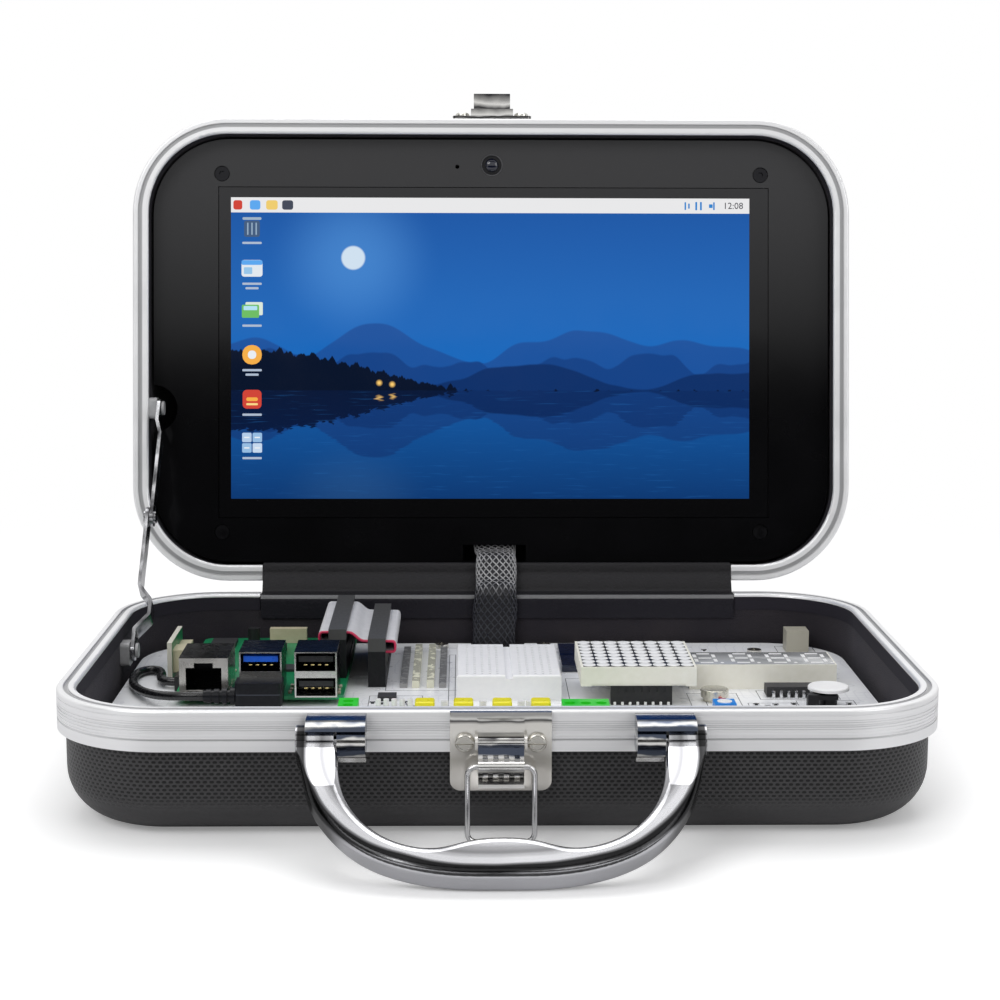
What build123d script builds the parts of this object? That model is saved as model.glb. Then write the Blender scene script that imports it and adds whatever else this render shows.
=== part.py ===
from build123d import *
import math
import os

# Electronics learning kit: a hard carrying case with aluminium frames, open on a table.
# The lid holds a display behind a dark panel, and the base holds a white lesson board
# with a small computer, a breadboard, displays, sensors and four push buttons.
# Millimetres. Origin at the centre of the base's underside, X to the right as the user
# faces the screen, Y to the back, Z up.

# Case
case_width = 272.0
case_depth = 175.4
base_height = 40.2
lid_height = 40.2
corner_radius = 36.0
shell_inset = 2.6
shell_wall = 2.0
shell_edge_radius = 16.0
lining_thickness = 1.2
closed_gap = 0.6
open_angle = 98.63

# Aluminium frames
frame_width = 6.0
frame_height = 12.4
frame_bead_radius = 0.9
frame_groove_start = 2.1
frame_groove_width = 1.5
frame_groove_depth = 0.6
frame_lip_height = 6.0
frame_roof = 2.7
rib_count = 6
rib_pitch = 1.0
rib_groove_width = 0.4
rib_groove_depth = 0.3
rib_first_depth = 3.8
shoulder_depth = 1.6

# Hinge rails, leatherette cover and hinge pin at the back
spine_x = 2.0
spine_width = 178.0
spine_clearance = 0.3
cover_thickness = 0.8
cover_recess = 1.0
cover_seat_gap = 0.05
hinge_setback = 3.0
knuckle_radius = 2.0
knuckle_count = 7
knuckle_gap = 0.3
hinge_pin_radius = 1.0
running_clearance = 0.06

# Display panel in the lid
panel_recess = 6.8
panel_thickness = 2.5
panel_gap = 1.0
panel_screw_x = 103.0
panel_screw_top = 67.5
panel_screw_bottom = -69.4
panel_screw_head_radius = 2.7
panel_post_radius = 4.0
screen_glass_width = 210.6
screen_glass_height = 126.6
screen_glass_thickness = 1.1
screen_module_depth = 3.6
screen_x = 0.9
screen_y = -0.7
screen_seam = 0.25
camera_y = 71.0
camera_radius = 4.0
microphone_x = -13.2
microphone_radius = 0.8

# Folding stay on the left side
stay_x = -126.0
stay_base_y = 30.0
stay_base_z = 30.9
stay_lid_along = -22.2
stay_lid_depth = -2.4
stay_width = 7.2
stay_thickness = 1.2
stay_jog = 4.6
stay_knee_share = 0.53
stay_rivet_radius = 1.4
stay_gap = 0.3
stay_pad_width = 8.0
stay_pad_depth = 3.0
stay_notch_radius = 9.0

# Carrying handle on the front
handle_width = 119.0
handle_length = 48.2
handle_thickness = 10.0
handle_leg_width = 11.2
handle_pivot_drop = 7.3
handle_pivot_out = 5.9
handle_eye_radius = 4.6
handle_neck = 7.4
handle_edge_radius = 2.5
handle_pin_radius = 1.5
bracket_cheek_width = 8.2
bracket_gap = 0.3
cheek_gap = 0.9
hood_wall = 1.6

# Draw latch and its keeper
latch_plate_width = 29.8
latch_plate_height = 23.8
latch_plate_thickness = 1.2
latch_corner_radius = 3.0
latch_screw_x = 10.6
latch_screw_drop = 9.1
latch_screw_radius = 1.5
latch_centre_rise = 0.4
latch_screw_head_radius = 2.9
lever_width = 13.4
lever_pivot_drop = 8.7
lever_pivot_out = 3.8
lever_length = 11.6
lever_thickness = 1.5
lever_barrel_radius = 1.9
latch_pin_radius = 1.0
ear_thickness = 0.8
bail_wire_radius = 0.8
bail_width = 19.6
bail_length = 22.6
bail_drop = 15.0
bail_out = 6.8
bail_bend_radius = 2.6
keeper_width = 16.0
keeper_hook_width = 13.8
keeper_height = 10.0

# Lesson board
board_top = 22.0
board_thickness = 1.6
board_side_gap = 3.0
board_screw_shank = 1.3
board_screw_x = 110.0
board_screw_side_x = 96.0
board_screw_rear_x = 19.0
board_screw_front = -50.0
board_screw_side = 62.0
board_screw_rear = 72.0
cable_notch_width = 20.0
cable_notch_depth = 6.0
sleeve_x = 1.0
sleeve_width = 16.0
sleeve_thickness = 3.5
standoff_radius = 3.5
board_screw_radius = 2.6

# Small computer on the lesson board
computer_width = 56.0
computer_length = 85.6
computer_thickness = 1.4
computer_spacer = 1.8
computer_right = -50.4
computer_front = -11.5
port_overhang = 2.5
network_width = 16.0
network_depth = 21.3
network_height = 13.4
usb_width = 13.9
usb_depth = 17.5
usb_height = 15.4
usb_right_inset = 9.0
usb_pitch = 18.1
network_inset = 45.75
socket_wall = 0.5
usb_divider = 1.8
usb_port_depth = 11.0
tongue_share = 0.62
tongue_half = 0.95
tongue_setback = 1.6
adapter_gap = 5.6
adapter_thickness = 1.6
adapter_height = 14.0
lead_socket_depth = 2.2
lead_socket_x = -107.7
lead_socket_y = 11.0

# Ribbon cable and its two plugs
ribbon_plug_length = 58.4
ribbon_plug_width = 6.0
ribbon_plug_height = 17.0
ribbon_width = 50.8
ribbon_thickness = 0.9
ribbon_upper_drop = 1.9
ribbon_lower_drop = 5.6
left_plug_x = -53.9
ribbon_y = 41.4
right_plug_x = -40.5

# Parts on the lesson board
breadboard_width = 35.0
breadboard_length = 47.0
breadboard_height = 8.5
breadboard_x = 4.3
breadboard_y = 17.5
hole_pitch = 2.54
matrix_side = 38.0
matrix_top = 36.0
matrix_height = 6.4
matrix_x = 46.6
matrix_y = 1.8
digits_width = 50.3
digits_depth = 19.0
digits_height = 8.5
digits_x = 91.4
digits_y = 18.2
button_count = 4
button_pitch = 12.3
button_first_x = -23.2
button_y = -36.5
button_cap_width = 6.3
button_cap_top = 30.2
button_stroke = 0.5
button_housing_width = 8.0
button_housing_height = 3.6
button_stem = 3.0
trimmer_x = 73.6
trimmer_y = -27.0
trimmer_height = 5.0
trimmer_dial_radius = 2.4
dish_x = 109.6
dish_y = -14.0
dish_radius = 6.8
lead_diameter = 3.0
plug_width = 15.4
relief_length = 10.4
lead_start_z = 27.2

# Values worked out from the driving dimensions
half_depth = case_depth / 2
hinge_y = half_depth + hinge_setback
hinge_z = base_height + closed_gap / 2
lean = math.radians(open_angle - 90)
lid_up = Vector(0, math.sin(lean), math.cos(lean))
lid_facing = Vector(0, -math.cos(lean), math.sin(lean))
base_rim = Plane((0, 0, base_height), x_dir=(1, 0, 0), z_dir=(0, 0, 1))
hinge_line = Vector(0, hinge_y, hinge_z)
lid_rim = Plane(
    hinge_line + lid_up * (hinge_setback + half_depth) - lid_facing * (closed_gap / 2),
    x_dir=(1, 0, 0),
    z_dir=tuple(lid_facing),
)
front_face = -half_depth
lining_floor = shell_wall + lining_thickness
interior_inset = shell_inset + shell_wall + lining_thickness
board_bottom = board_top - board_thickness
computer_bottom = board_top + computer_spacer
computer_top = computer_bottom + computer_thickness
computer_x = computer_right - computer_width / 2
computer_y = computer_front + computer_length / 2
rail_width = spine_width - 2 * spine_clearance

os.makedirs("parts", exist_ok=True)


def save(solid, name):
    """Label one sub-part and write it as the node of that name."""
    solid.label = name
    export_step(solid, f"parts/{name}.step")


def rounded(inset, mode=Mode.ADD):
    """The case's outline, drawn this far in from the outer face of the frames."""
    width = case_width - 2 * inset
    depth = case_depth - 2 * inset
    RectangleRounded(width, depth, corner_radius - inset, mode=mode)


def block(x, y, width, depth, bottom, top, mode=Mode.ADD):
    """A rectangular block between two heights, centred on x and y."""
    with Locations((x, y, (bottom + top) / 2)):
        Box(width, depth, top - bottom, mode=mode)


def post(x, y, radius, bottom, top, mode=Mode.ADD):
    """A round post or hole between two heights."""
    with Locations((x, y, (bottom + top) / 2)):
        Cylinder(radius, top - bottom, mode=mode)


def tub(rim, inset, floor, top, edge_radius):
    """A solid block of the case's outline with its far edge rounded."""
    with BuildPart() as solid:
        with BuildSketch(rim.offset(floor)):
            rounded(inset)
        extrude(amount=top - floor)
        along_rim = Axis(rim.origin, rim.z_dir)
        fillet(solid.faces().sort_by(along_rim)[0].edges(), edge_radius)
    return solid.part


def hollow_tub(rim, height, inset, wall, top, edge_radius):
    """A tub of even wall: height is from the rim to its far face."""
    outer = tub(rim, inset, -height, top, edge_radius)
    inner = tub(rim, inset + wall, wall - height, top + 1, edge_radius - wall)
    with BuildPart() as shell:
        add(outer)
        add(inner, mode=Mode.SUBTRACT)
    return shell


def rail_window(rim, hinge_side, width):
    """The stretch at the back where the hinge rails take the place of the frames."""
    with BuildPart() as window:
        with BuildSketch(rim.offset(-2 * frame_height)):
            with Locations((spine_x, hinge_side * half_depth)):
                Rectangle(width, 4 * frame_width)
        extrude(amount=3 * frame_height)
    return window.part


def edge_slot(rim):
    """The slot on a frame's underside that grips the edge of the shell and the lining."""
    with BuildPart() as slot:
        with BuildSketch(rim.offset(-frame_height)):
            rounded(shell_inset)
            rounded(shell_inset + shell_wall, mode=Mode.SUBTRACT)
        extrude(amount=frame_height - frame_roof)
        with BuildSketch(rim.offset(-frame_height)):
            rounded(shell_inset + shell_wall)
            rounded(frame_width + 1, mode=Mode.SUBTRACT)
        extrude(amount=frame_height - frame_lip_height)
    return slot.part


def aluminium_frame(rim, hinge_side):
    """An extruded frame bent round the case, open at the back between the hinge rails' ends."""
    slot = edge_slot(rim)
    window = rail_window(rim, hinge_side, spine_width)
    with BuildPart() as frame:
        with BuildSketch(rim.offset(-frame_height)):
            rounded(0)
            rounded(frame_width, mode=Mode.SUBTRACT)
        extrude(amount=frame_height)
        along_rim = Axis(rim.origin, rim.z_dir)
        fillet(frame.faces().sort_by(along_rim)[-1].edges(), frame_bead_radius)
        with BuildSketch(rim.offset(-frame_groove_depth)):
            rounded(frame_groove_start)
            rounded(frame_groove_start + frame_groove_width, mode=Mode.SUBTRACT)
        extrude(amount=frame_groove_depth, mode=Mode.SUBTRACT)
        groove_depths = [rib_first_depth + number * rib_pitch for number in range(rib_count)]
        for depth in [shoulder_depth] + groove_depths:
            with BuildSketch(rim.offset(-depth - rib_groove_width)):
                rounded(-1)
                rounded(rib_groove_depth, mode=Mode.SUBTRACT)
            extrude(amount=rib_groove_width, mode=Mode.SUBTRACT)
        add(slot, mode=Mode.SUBTRACT)
        add(window, mode=Mode.SUBTRACT)
    return frame


def hinge_rail(rim, hinge_side, toward_rail, web_side, own_knuckles):
    """A moulded rail that closes the frame at the back and carries every other knuckle."""
    slot = edge_slot(rim)
    pitch = rail_width / knuckle_count
    left_end = spine_x - rail_width / 2
    web_low = closed_gap / 2 + cover_recess
    web_high = web_low + 2.6
    with BuildPart() as rail:
        with BuildSketch(rim.offset(-frame_height)):
            with Locations((spine_x, hinge_side * (half_depth - frame_width / 2))):
                Rectangle(rail_width, frame_width)
        extrude(amount=frame_height - cover_recess)
        add(slot, mode=Mode.SUBTRACT)
        for number in own_knuckles:
            start = left_end + number * pitch + knuckle_gap / 2
            across = Plane((start, hinge_y, hinge_z), x_dir=toward_rail, z_dir=(1, 0, 0))
            with BuildSketch(across):
                Circle(knuckle_radius)
                with Locations((hinge_setback / 2, web_side * (web_low + web_high) / 2)):
                    Rectangle(hinge_setback, web_high - web_low)
            extrude(amount=pitch - knuckle_gap)
        bore = Plane((left_end, hinge_y, hinge_z), x_dir=(0, 1, 0), z_dir=(1, 0, 0))
        with BuildSketch(bore):
            Circle(hinge_pin_radius + running_clearance)
        extrude(amount=rail_width, mode=Mode.SUBTRACT)
    return rail


def strip_profile(points, thickness, radius):
    """Trace a flat strip's path, with its corners rounded, at the strip's thickness."""
    with BuildLine() as path:
        FilletPolyline(*points, radius=radius)
    trace(path.edges(), thickness)


# The base's moulded shell
base_shell = hollow_tub(base_rim, base_height, shell_inset, shell_wall, -frame_roof, shell_edge_radius)
save(base_shell.part, "base_shell")

# The base's fabric lining, up to the frame's inner lip
base_lining = hollow_tub(
    base_rim,
    base_height - shell_wall,
    shell_inset + shell_wall,
    lining_thickness,
    -frame_lip_height,
    shell_edge_radius - shell_wall,
)
save(base_lining.part, "base_lining")

base_frame = aluminium_frame(base_rim, 1)
save(base_frame.part, "base_frame")

odd_knuckles = range(0, knuckle_count, 2)
even_knuckles = range(1, knuckle_count, 2)
hinge_base_rail = hinge_rail(base_rim, 1, (0, -1, 0), 1, odd_knuckles)
save(hinge_base_rail.part, "hinge_base_rail")

# One steel pin runs through all the knuckles
with BuildPart() as hinge_pin:
    pin_start = Plane(
        (spine_x - rail_width / 2 + knuckle_gap, hinge_y, hinge_z), x_dir=(0, 1, 0), z_dir=(1, 0, 0)
    )
    with BuildSketch(pin_start):
        Circle(hinge_pin_radius)
    extrude(amount=rail_width - 2 * knuckle_gap)
save(hinge_pin.part, "hinge_pin")


def lid_point(along, out):
    """Y and Z of a point in the lid, along from its hinge edge and out from its rim."""
    place = lid_rim.origin + lid_up * (along - half_depth) + lid_facing * out
    return (place.Y, place.Z)


# Leatherette that covers both rails and bridges the hinge
cover_middle = cover_thickness / 2 + cover_seat_gap
cover_inner_y = half_depth - frame_width - cover_middle
cover_rim_z = base_height - cover_recess + cover_middle
cover_route = [
    (cover_inner_y, base_height - 9.0),
    (cover_inner_y, cover_rim_z),
    (half_depth - 0.4, cover_rim_z),
    (half_depth + 0.4, cover_rim_z + 3.1),
    lid_point(1.6, cover_middle - cover_recess + 0.1),
    lid_point(frame_width + cover_middle, cover_middle - cover_recess),
    lid_point(frame_width + cover_middle, -5.5),
]
with BuildPart() as hinge_cover:
    with BuildSketch(Plane.YZ.offset(spine_x - rail_width / 2)):
        strip_profile(cover_route, cover_thickness, 0.5)
    extrude(amount=rail_width)
save(hinge_cover.part, "hinge_cover")

# The lid's moulded shell, with four posts that take the panel's screws
panel_back = -panel_recess - panel_thickness
screw_places = [
    (side * panel_screw_x, height)
    for side in (-1, 1)
    for height in (panel_screw_top, panel_screw_bottom)
]
lid_shell = hollow_tub(lid_rim, lid_height, shell_inset, shell_wall, -frame_roof, shell_edge_radius)
with BuildPart() as lid_shell_with_posts:
    add(lid_shell.part)
    with BuildSketch(lid_rim.offset(shell_wall - lid_height)):
        with Locations(*screw_places):
            Circle(panel_post_radius)
    extrude(amount=lid_height - shell_wall + panel_back)
    with BuildSketch(lid_rim.offset(panel_back)):
        with Locations(*screw_places):
            Circle(1.3)
    extrude(amount=-9, mode=Mode.SUBTRACT)
save(lid_shell_with_posts.part, "lid_shell")

lid_lining_tub = hollow_tub(
    lid_rim,
    lid_height - shell_wall,
    shell_inset + shell_wall,
    lining_thickness,
    -frame_lip_height,
    shell_edge_radius - shell_wall,
)
with BuildPart() as lid_lining:
    add(lid_lining_tub.part)
    with BuildSketch(lid_rim.offset(-lid_height)):
        with Locations(*screw_places):
            Circle(panel_post_radius + 0.2)
    extrude(amount=lid_height / 2, mode=Mode.SUBTRACT)
save(lid_lining.part, "lid_lining")

lid_frame = aluminium_frame(lid_rim, -1)
save(lid_frame.part, "lid_frame")

hinge_lid_rail = hinge_rail(lid_rim, -1, tuple(lid_up), -1, even_knuckles)
save(hinge_lid_rail.part, "hinge_lid_rail")

# Dark gloss panel round the display, notched for the stay's anchor
cable_slot_width = 24.0
cable_slot_height = 6.4
panel_inset = frame_width + panel_gap
panel_bottom = panel_inset - half_depth
with BuildPart() as lid_panel:
    with BuildSketch(lid_rim.offset(panel_back)):
        rounded(panel_inset)
        with Locations((screen_x, screen_y)):
            Rectangle(screen_glass_width, screen_glass_height, mode=Mode.SUBTRACT)
        with Locations((panel_inset - case_width / 2, stay_lid_along)):
            Circle(stay_notch_radius, mode=Mode.SUBTRACT)
        with Locations((0, camera_y)):
            Circle(camera_radius, mode=Mode.SUBTRACT)
        with Locations((microphone_x, camera_y - 0.6)):
            Circle(microphone_radius, mode=Mode.SUBTRACT)
        with Locations(*screw_places):
            Circle(1.6, mode=Mode.SUBTRACT)
        with Locations((1, panel_bottom)):
            Rectangle(cable_slot_width, 2 * cable_slot_height, mode=Mode.SUBTRACT)
    extrude(amount=panel_thickness)
    with BuildSketch(lid_rim.offset(-panel_recess)):
        with Locations(*screw_places):
            Circle(panel_screw_head_radius + 0.3)
    extrude(amount=-1.3, mode=Mode.SUBTRACT)
save(lid_panel.part, "lid_panel")

# Display: a front glass, and behind it the display module in its tray
with BuildPart() as display_glass:
    glass_back = -panel_recess - 0.1 - screen_glass_thickness
    with BuildSketch(lid_rim.offset(glass_back)):
        with Locations((screen_x, screen_y)):
            Rectangle(screen_glass_width - 2 * screen_seam, screen_glass_height - 2 * screen_seam)
    extrude(amount=screen_glass_thickness)
save(display_glass.part, "display_glass")

with BuildPart() as display_module:
    with BuildSketch(lid_rim.offset(glass_back)):
        with Locations((screen_x, screen_y)):
            Rectangle(screen_glass_width - 1.2, screen_glass_height - 1.2)
    extrude(amount=-screen_module_depth)
    with BuildSketch(lid_rim.offset(glass_back - screen_module_depth)):
        with Locations((screen_x, screen_y)):
            RectangleRounded(120, 60, 4)
    extrude(amount=-2.0)
save(display_module.part, "display_module")

# Camera behind its round window
with BuildPart() as camera_module:
    with BuildSketch(lid_rim.offset(-panel_recess - 0.5)):
        with Locations((0, camera_y)):
            Circle(camera_radius - 0.1)
    extrude(amount=-7)
    with BuildSketch(lid_rim.offset(-panel_recess - 0.5)):
        with Locations((0, camera_y)):
            Circle(camera_radius - 0.9)
            Circle(camera_radius - 1.3, mode=Mode.SUBTRACT)
    extrude(amount=0.3)
    with BuildSketch(lid_rim.offset(-panel_recess - 0.5)):
        with Locations((0, camera_y)):
            Circle(1.2)
    extrude(amount=-0.8, mode=Mode.SUBTRACT)
save(camera_module.part, "camera_module")

# Keeper of the latch, on the lid's outer face; its plane looks outward from the rim's edge
keeper_plane = Plane(
    lid_rim.origin + lid_up * half_depth, x_dir=(1, 0, 0), z_dir=tuple(lid_up)
)
with BuildPart() as lid_keeper:
    with BuildSketch(keeper_plane):
        with Locations((0, 6.2)):
            RectangleRounded(latch_plate_width, 10.4, 1.5)
    extrude(amount=latch_plate_thickness)
    with BuildSketch(keeper_plane):
        with Locations((0, 6.2)):
            Rectangle(keeper_width, 8.4)
    extrude(amount=4.0)
    side = Plane(keeper_plane.origin, x_dir=tuple(lid_up), z_dir=(1, 0, 0))
    hook_outline = [
        (3.9, 3.6),
        (keeper_height, 3.6),
        (keeper_height, 9.4),
        (keeper_height - 1.1, 9.4),
        (keeper_height - 1.1, 5.9),
        (3.9, 5.9),
    ]
    with BuildSketch(side):
        Polygon(*[(out, -depth) for out, depth in hook_outline], align=None)
    extrude(amount=keeper_hook_width / 2, both=True)
    with BuildSketch(keeper_plane):
        with Locations((latch_screw_x + 0.6, 6.2), (-latch_screw_x - 0.6, 6.2)):
            Circle(1.5)
    extrude(amount=latch_plate_thickness, mode=Mode.SUBTRACT)
save(lid_keeper.part, "lid_keeper")

# Screws of the lid: four with a hexagon socket sunk in the panel, and two in the keeper
with BuildPart() as lid_screws:
    with BuildSketch(lid_rim.offset(-panel_recess - 1.3)):
        with Locations(*screw_places):
            Circle(panel_screw_head_radius)
    extrude(amount=1.1)
    with BuildSketch(lid_rim.offset(-panel_recess - 0.2)):
        with Locations(*screw_places):
            RegularPolygon(1.2, 6)
    extrude(amount=-0.8, mode=Mode.SUBTRACT)
    with BuildSketch(lid_rim.offset(-panel_recess - 1.3)):
        with Locations(*screw_places):
            Circle(1.25)
    extrude(amount=-8)
    with BuildSketch(keeper_plane.offset(latch_plate_thickness)):
        with Locations((latch_screw_x + 0.6, 6.2), (-latch_screw_x - 0.6, 6.2)):
            Circle(latch_screw_head_radius - 0.2)
    extrude(amount=1.8)
    fillet(lid_screws.faces().sort_by(Axis(keeper_plane.origin, tuple(lid_up)))[-2:].edges(), 0.9)
    with BuildSketch(keeper_plane.offset(latch_plate_thickness)):
        with Locations((latch_screw_x + 0.6, 6.2), (-latch_screw_x - 0.6, 6.2)):
            Circle(1.45)
    extrude(amount=-latch_plate_thickness)
save(lid_screws.part, "lid_screws")

# Folding stay: two flat links between grey pads, its knee at the middle rivets
stay_foot = Vector(0, stay_base_y, stay_base_z)
stay_head = Vector(0, *lid_point(half_depth + stay_lid_along, stay_lid_depth))
stay_run = stay_head - stay_foot
stay_direction = stay_run.normalized()
lower_length = stay_knee_share * stay_run.length
upper_length = stay_run.length - lower_length
stay_bore = stay_rivet_radius + running_clearance
upper_link_x = stay_x + stay_thickness + stay_gap
pad_inner_x = frame_width - case_width / 2 + stay_pad_depth


def stay_link(pivot, direction, length, route, knuckle_x, head_side):
    """A flat link, bent sideways along its route, with an eye at its pivot and a rivet at its knee."""
    across = Plane(tuple(pivot), x_dir=tuple(direction), z_dir=(0, direction.Z, -direction.Y))
    broadside = Plane(tuple(pivot), x_dir=tuple(direction), z_dir=(1, 0, 0))
    eye = stay_width / 2
    with BuildPart() as link:
        with BuildSketch(across):
            strip_profile(route, stay_thickness, 1.5)
        extrude(amount=stay_width / 2, both=True)
        with BuildSketch(broadside.offset(stay_x - 15)):
            with Locations((length / 2, 0)):
                SlotOverall(length + 2 * eye, stay_width)
        extrude(amount=30, mode=Mode.INTERSECT)
        with BuildSketch(broadside.offset(stay_x - 15)):
            Circle(stay_bore)
        extrude(amount=30, mode=Mode.SUBTRACT)
        face_x = knuckle_x + head_side * stay_thickness / 2
        with BuildSketch(broadside.offset(face_x)):
            with Locations((length, 0)):
                Circle(stay_rivet_radius + 1)
        extrude(amount=head_side * 0.8)
    return link


lower_eye_x = pad_inner_x + stay_gap + stay_thickness / 2
lower_route = [
    (-stay_width / 2, lower_eye_x),
    (7.0, lower_eye_x),
    (13.0, lower_eye_x + stay_jog),
    (19.0, lower_eye_x + stay_jog),
    (25.0, stay_x),
    (lower_length + stay_width / 2, stay_x),
]
stay_lower_link = stay_link(stay_foot, stay_direction, lower_length, lower_route, stay_x, -1)
save(stay_lower_link.part, "stay_lower_link")

upper_route = [
    (-stay_width / 2, lower_eye_x),
    (8.0, lower_eye_x),
    (14.0, upper_link_x),
    (upper_length + stay_width / 2, upper_link_x),
]
stay_upper_link = stay_link(stay_head, stay_direction * -1, upper_length, upper_route, upper_link_x, 1)
save(stay_upper_link.part, "stay_upper_link")

# Grey pads that carry the stay's end rivets, one on the base's wall and one on the lid's frame
rivet_face_x = pad_inner_x + stay_thickness + 2 * stay_gap
with BuildPart() as stay_base_anchor:
    pad_back_x = interior_inset - case_width / 2
    with BuildSketch(Plane((pad_back_x, stay_base_y, stay_base_z), x_dir=(0, 1, 0), z_dir=(1, 0, 0))):
        with Locations((0, -0.9)):
            RectangleRounded(stay_pad_width, 8.2, 1.5)
    extrude(amount=pad_inner_x - pad_back_x)
    with BuildSketch(Plane((pad_inner_x, stay_base_y, stay_base_z), x_dir=(0, 1, 0), z_dir=(1, 0, 0))):
        Circle(stay_rivet_radius)
    extrude(amount=rivet_face_x - pad_inner_x)
    with BuildSketch(Plane((rivet_face_x, stay_base_y, stay_base_z), x_dir=(0, 1, 0), z_dir=(1, 0, 0))):
        Circle(stay_rivet_radius + 1.2)
    extrude(amount=0.9)
save(stay_base_anchor.part, "stay_base_anchor")

with BuildPart() as stay_lid_anchor:
    pad_seat_x = frame_width - case_width / 2
    pad_seat = Plane((pad_seat_x, stay_head.Y, stay_head.Z), x_dir=tuple(lid_up), z_dir=(1, 0, 0))
    with BuildSketch(pad_seat):
        with Locations((0, -2.0)):
            RectangleRounded(stay_pad_width, 7.0, 1.5)
    extrude(amount=stay_pad_depth)
    with BuildSketch(pad_seat.offset(stay_pad_depth)):
        Circle(stay_rivet_radius)
    extrude(amount=rivet_face_x - pad_inner_x)
    with BuildSketch(pad_seat.offset(rivet_face_x - pad_seat_x)):
        Circle(stay_rivet_radius + 1.2)
    extrude(amount=0.9)
save(stay_lid_anchor.part, "stay_lid_anchor")

# Plated handle, hanging from two pins with its grip's edge on the table
pivot_y = front_face - handle_pivot_out
pivot_z = base_height - handle_pivot_drop
grip_reach = math.hypot(handle_length - handle_edge_radius, handle_thickness / 2 - handle_edge_radius)
grip_angle = math.atan2(handle_thickness / 2 - handle_edge_radius, handle_length - handle_edge_radius)
handle_tilt = grip_angle + math.acos((pivot_z - handle_edge_radius) / grip_reach)
handle_down = Vector(0, -math.sin(handle_tilt), -math.cos(handle_tilt))
handle_plane = Plane(
    (0, pivot_y, pivot_z), x_dir=(1, 0, 0), z_dir=(0, math.cos(handle_tilt), -math.sin(handle_tilt))
)
handle_half = handle_width / 2
leg_inner_x = handle_half - handle_leg_width
outer_curve = [
    (handle_half, 0),
    (handle_half - 1.2, handle_length * 0.166),
    (handle_half - 4.0, handle_length * 0.394),
    (handle_half - 10.0, handle_length * 0.633),
    (handle_half - 19.5, handle_length * 0.826),
    (handle_half - 32.5, handle_length * 0.946),
    (13.0, handle_length * 0.995),
]
inner_curve = [
    (leg_inner_x, 0),
    (leg_inner_x - 0.8, handle_length * 0.124),
    (leg_inner_x - 2.8, handle_length * 0.373),
    (leg_inner_x - 6.3, handle_length * 0.54),
    (leg_inner_x - 12.9, handle_length * 0.691),
    (leg_inner_x - 19.9, handle_length * 0.77),
    (17.4, handle_length * 0.797),
    (9.2, handle_length * 0.751),
]
with BuildPart() as handle:
    with BuildSketch(handle_plane):
        with BuildLine():
            Spline(
                *outer_curve,
                (0, handle_length),
                *[(-x, w) for x, w in reversed(outer_curve)],
                tangents=[(0, 1), (0, -1)],
            )
            Spline(
                *inner_curve,
                (0, handle_length * 0.732),
                *[(-x, w) for x, w in reversed(inner_curve)],
                tangents=[(0, 1), (0, -1)],
            )
            Line((leg_inner_x, 0), (handle_half, 0))
            Line((-leg_inner_x, 0), (-handle_half, 0))
        make_face()
    extrude(amount=handle_thickness / 2, both=True)
    fillet(handle.edges().filter_by(GeomType.BSPLINE), handle_edge_radius)
    side = Plane((0, pivot_y, pivot_z), x_dir=tuple(handle_down), z_dir=(1, 0, 0))
    thick = handle_thickness / 2
    thin = handle_neck / 2
    with BuildSketch(side):
        with BuildLine():
            Polyline((-1, thin), (5, thin), (19, thick), (handle_length + 5, thick))
            Line((handle_length + 5, thick), (handle_length + 5, -thick))
            Polyline((handle_length + 5, -thick), (19, -thick), (5, -thin), (-1, -thin))
            Line((-1, -thin), (-1, thin))
        make_face()
    extrude(amount=handle_width, both=True, mode=Mode.INTERSECT)
    for end in (-1, 1):
        with BuildSketch(Plane((end * leg_inner_x, pivot_y, pivot_z), x_dir=(0, 1, 0), z_dir=(end, 0, 0))):
            Circle(handle_eye_radius)
        extrude(amount=handle_leg_width - 0.2)
    with BuildSketch(Plane((-handle_half, pivot_y, pivot_z), x_dir=(0, 1, 0), z_dir=(1, 0, 0))):
        Circle(handle_pin_radius + running_clearance)
    extrude(amount=handle_width, mode=Mode.SUBTRACT)
save(handle.part, "handle")

# Brackets that carry the handle, each with a hood over the leg's eye
cheek_outer_x = leg_inner_x - cheek_gap
cheek_radius = handle_eye_radius + 0.5
cheek_inner_x = cheek_outer_x - bracket_cheek_width
hood_outer_x = leg_inner_x + handle_leg_width - 3.0
pocket_radius = handle_eye_radius + bracket_gap
hood_radius = pocket_radius + hood_wall
hood_end_height = handle_neck / 2 + bracket_gap
bracket_plane = Plane((cheek_inner_x, pivot_y, pivot_z), x_dir=(0, 1, 0), z_dir=(1, 0, 0))
with BuildPart() as handle_brackets:
    with BuildSketch(bracket_plane):
        Circle(cheek_radius)
        with Locations((handle_pivot_out / 2, 0)):
            Rectangle(handle_pivot_out, 2 * hood_radius)
    extrude(amount=bracket_cheek_width)
    with BuildSketch(bracket_plane):
        Circle(hood_radius)
        Circle(pocket_radius, mode=Mode.SUBTRACT)
        with Locations((0, hood_end_height - 2 * hood_radius)):
            Rectangle(4 * hood_radius, 4 * hood_radius, mode=Mode.SUBTRACT)
        with Locations((handle_pivot_out / 2, hood_radius - hood_wall / 2)):
            Rectangle(handle_pivot_out, hood_wall)
        with Locations((handle_pivot_out + hood_radius, 0)):
            Rectangle(2 * hood_radius, 4 * hood_radius, mode=Mode.SUBTRACT)
    extrude(amount=hood_outer_x - cheek_inner_x)
    with BuildSketch(bracket_plane):
        Circle(handle_pin_radius)
    extrude(amount=bracket_cheek_width, mode=Mode.SUBTRACT)
    mirror(about=Plane.YZ)
save(handle_brackets.part, "handle_brackets")

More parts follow.
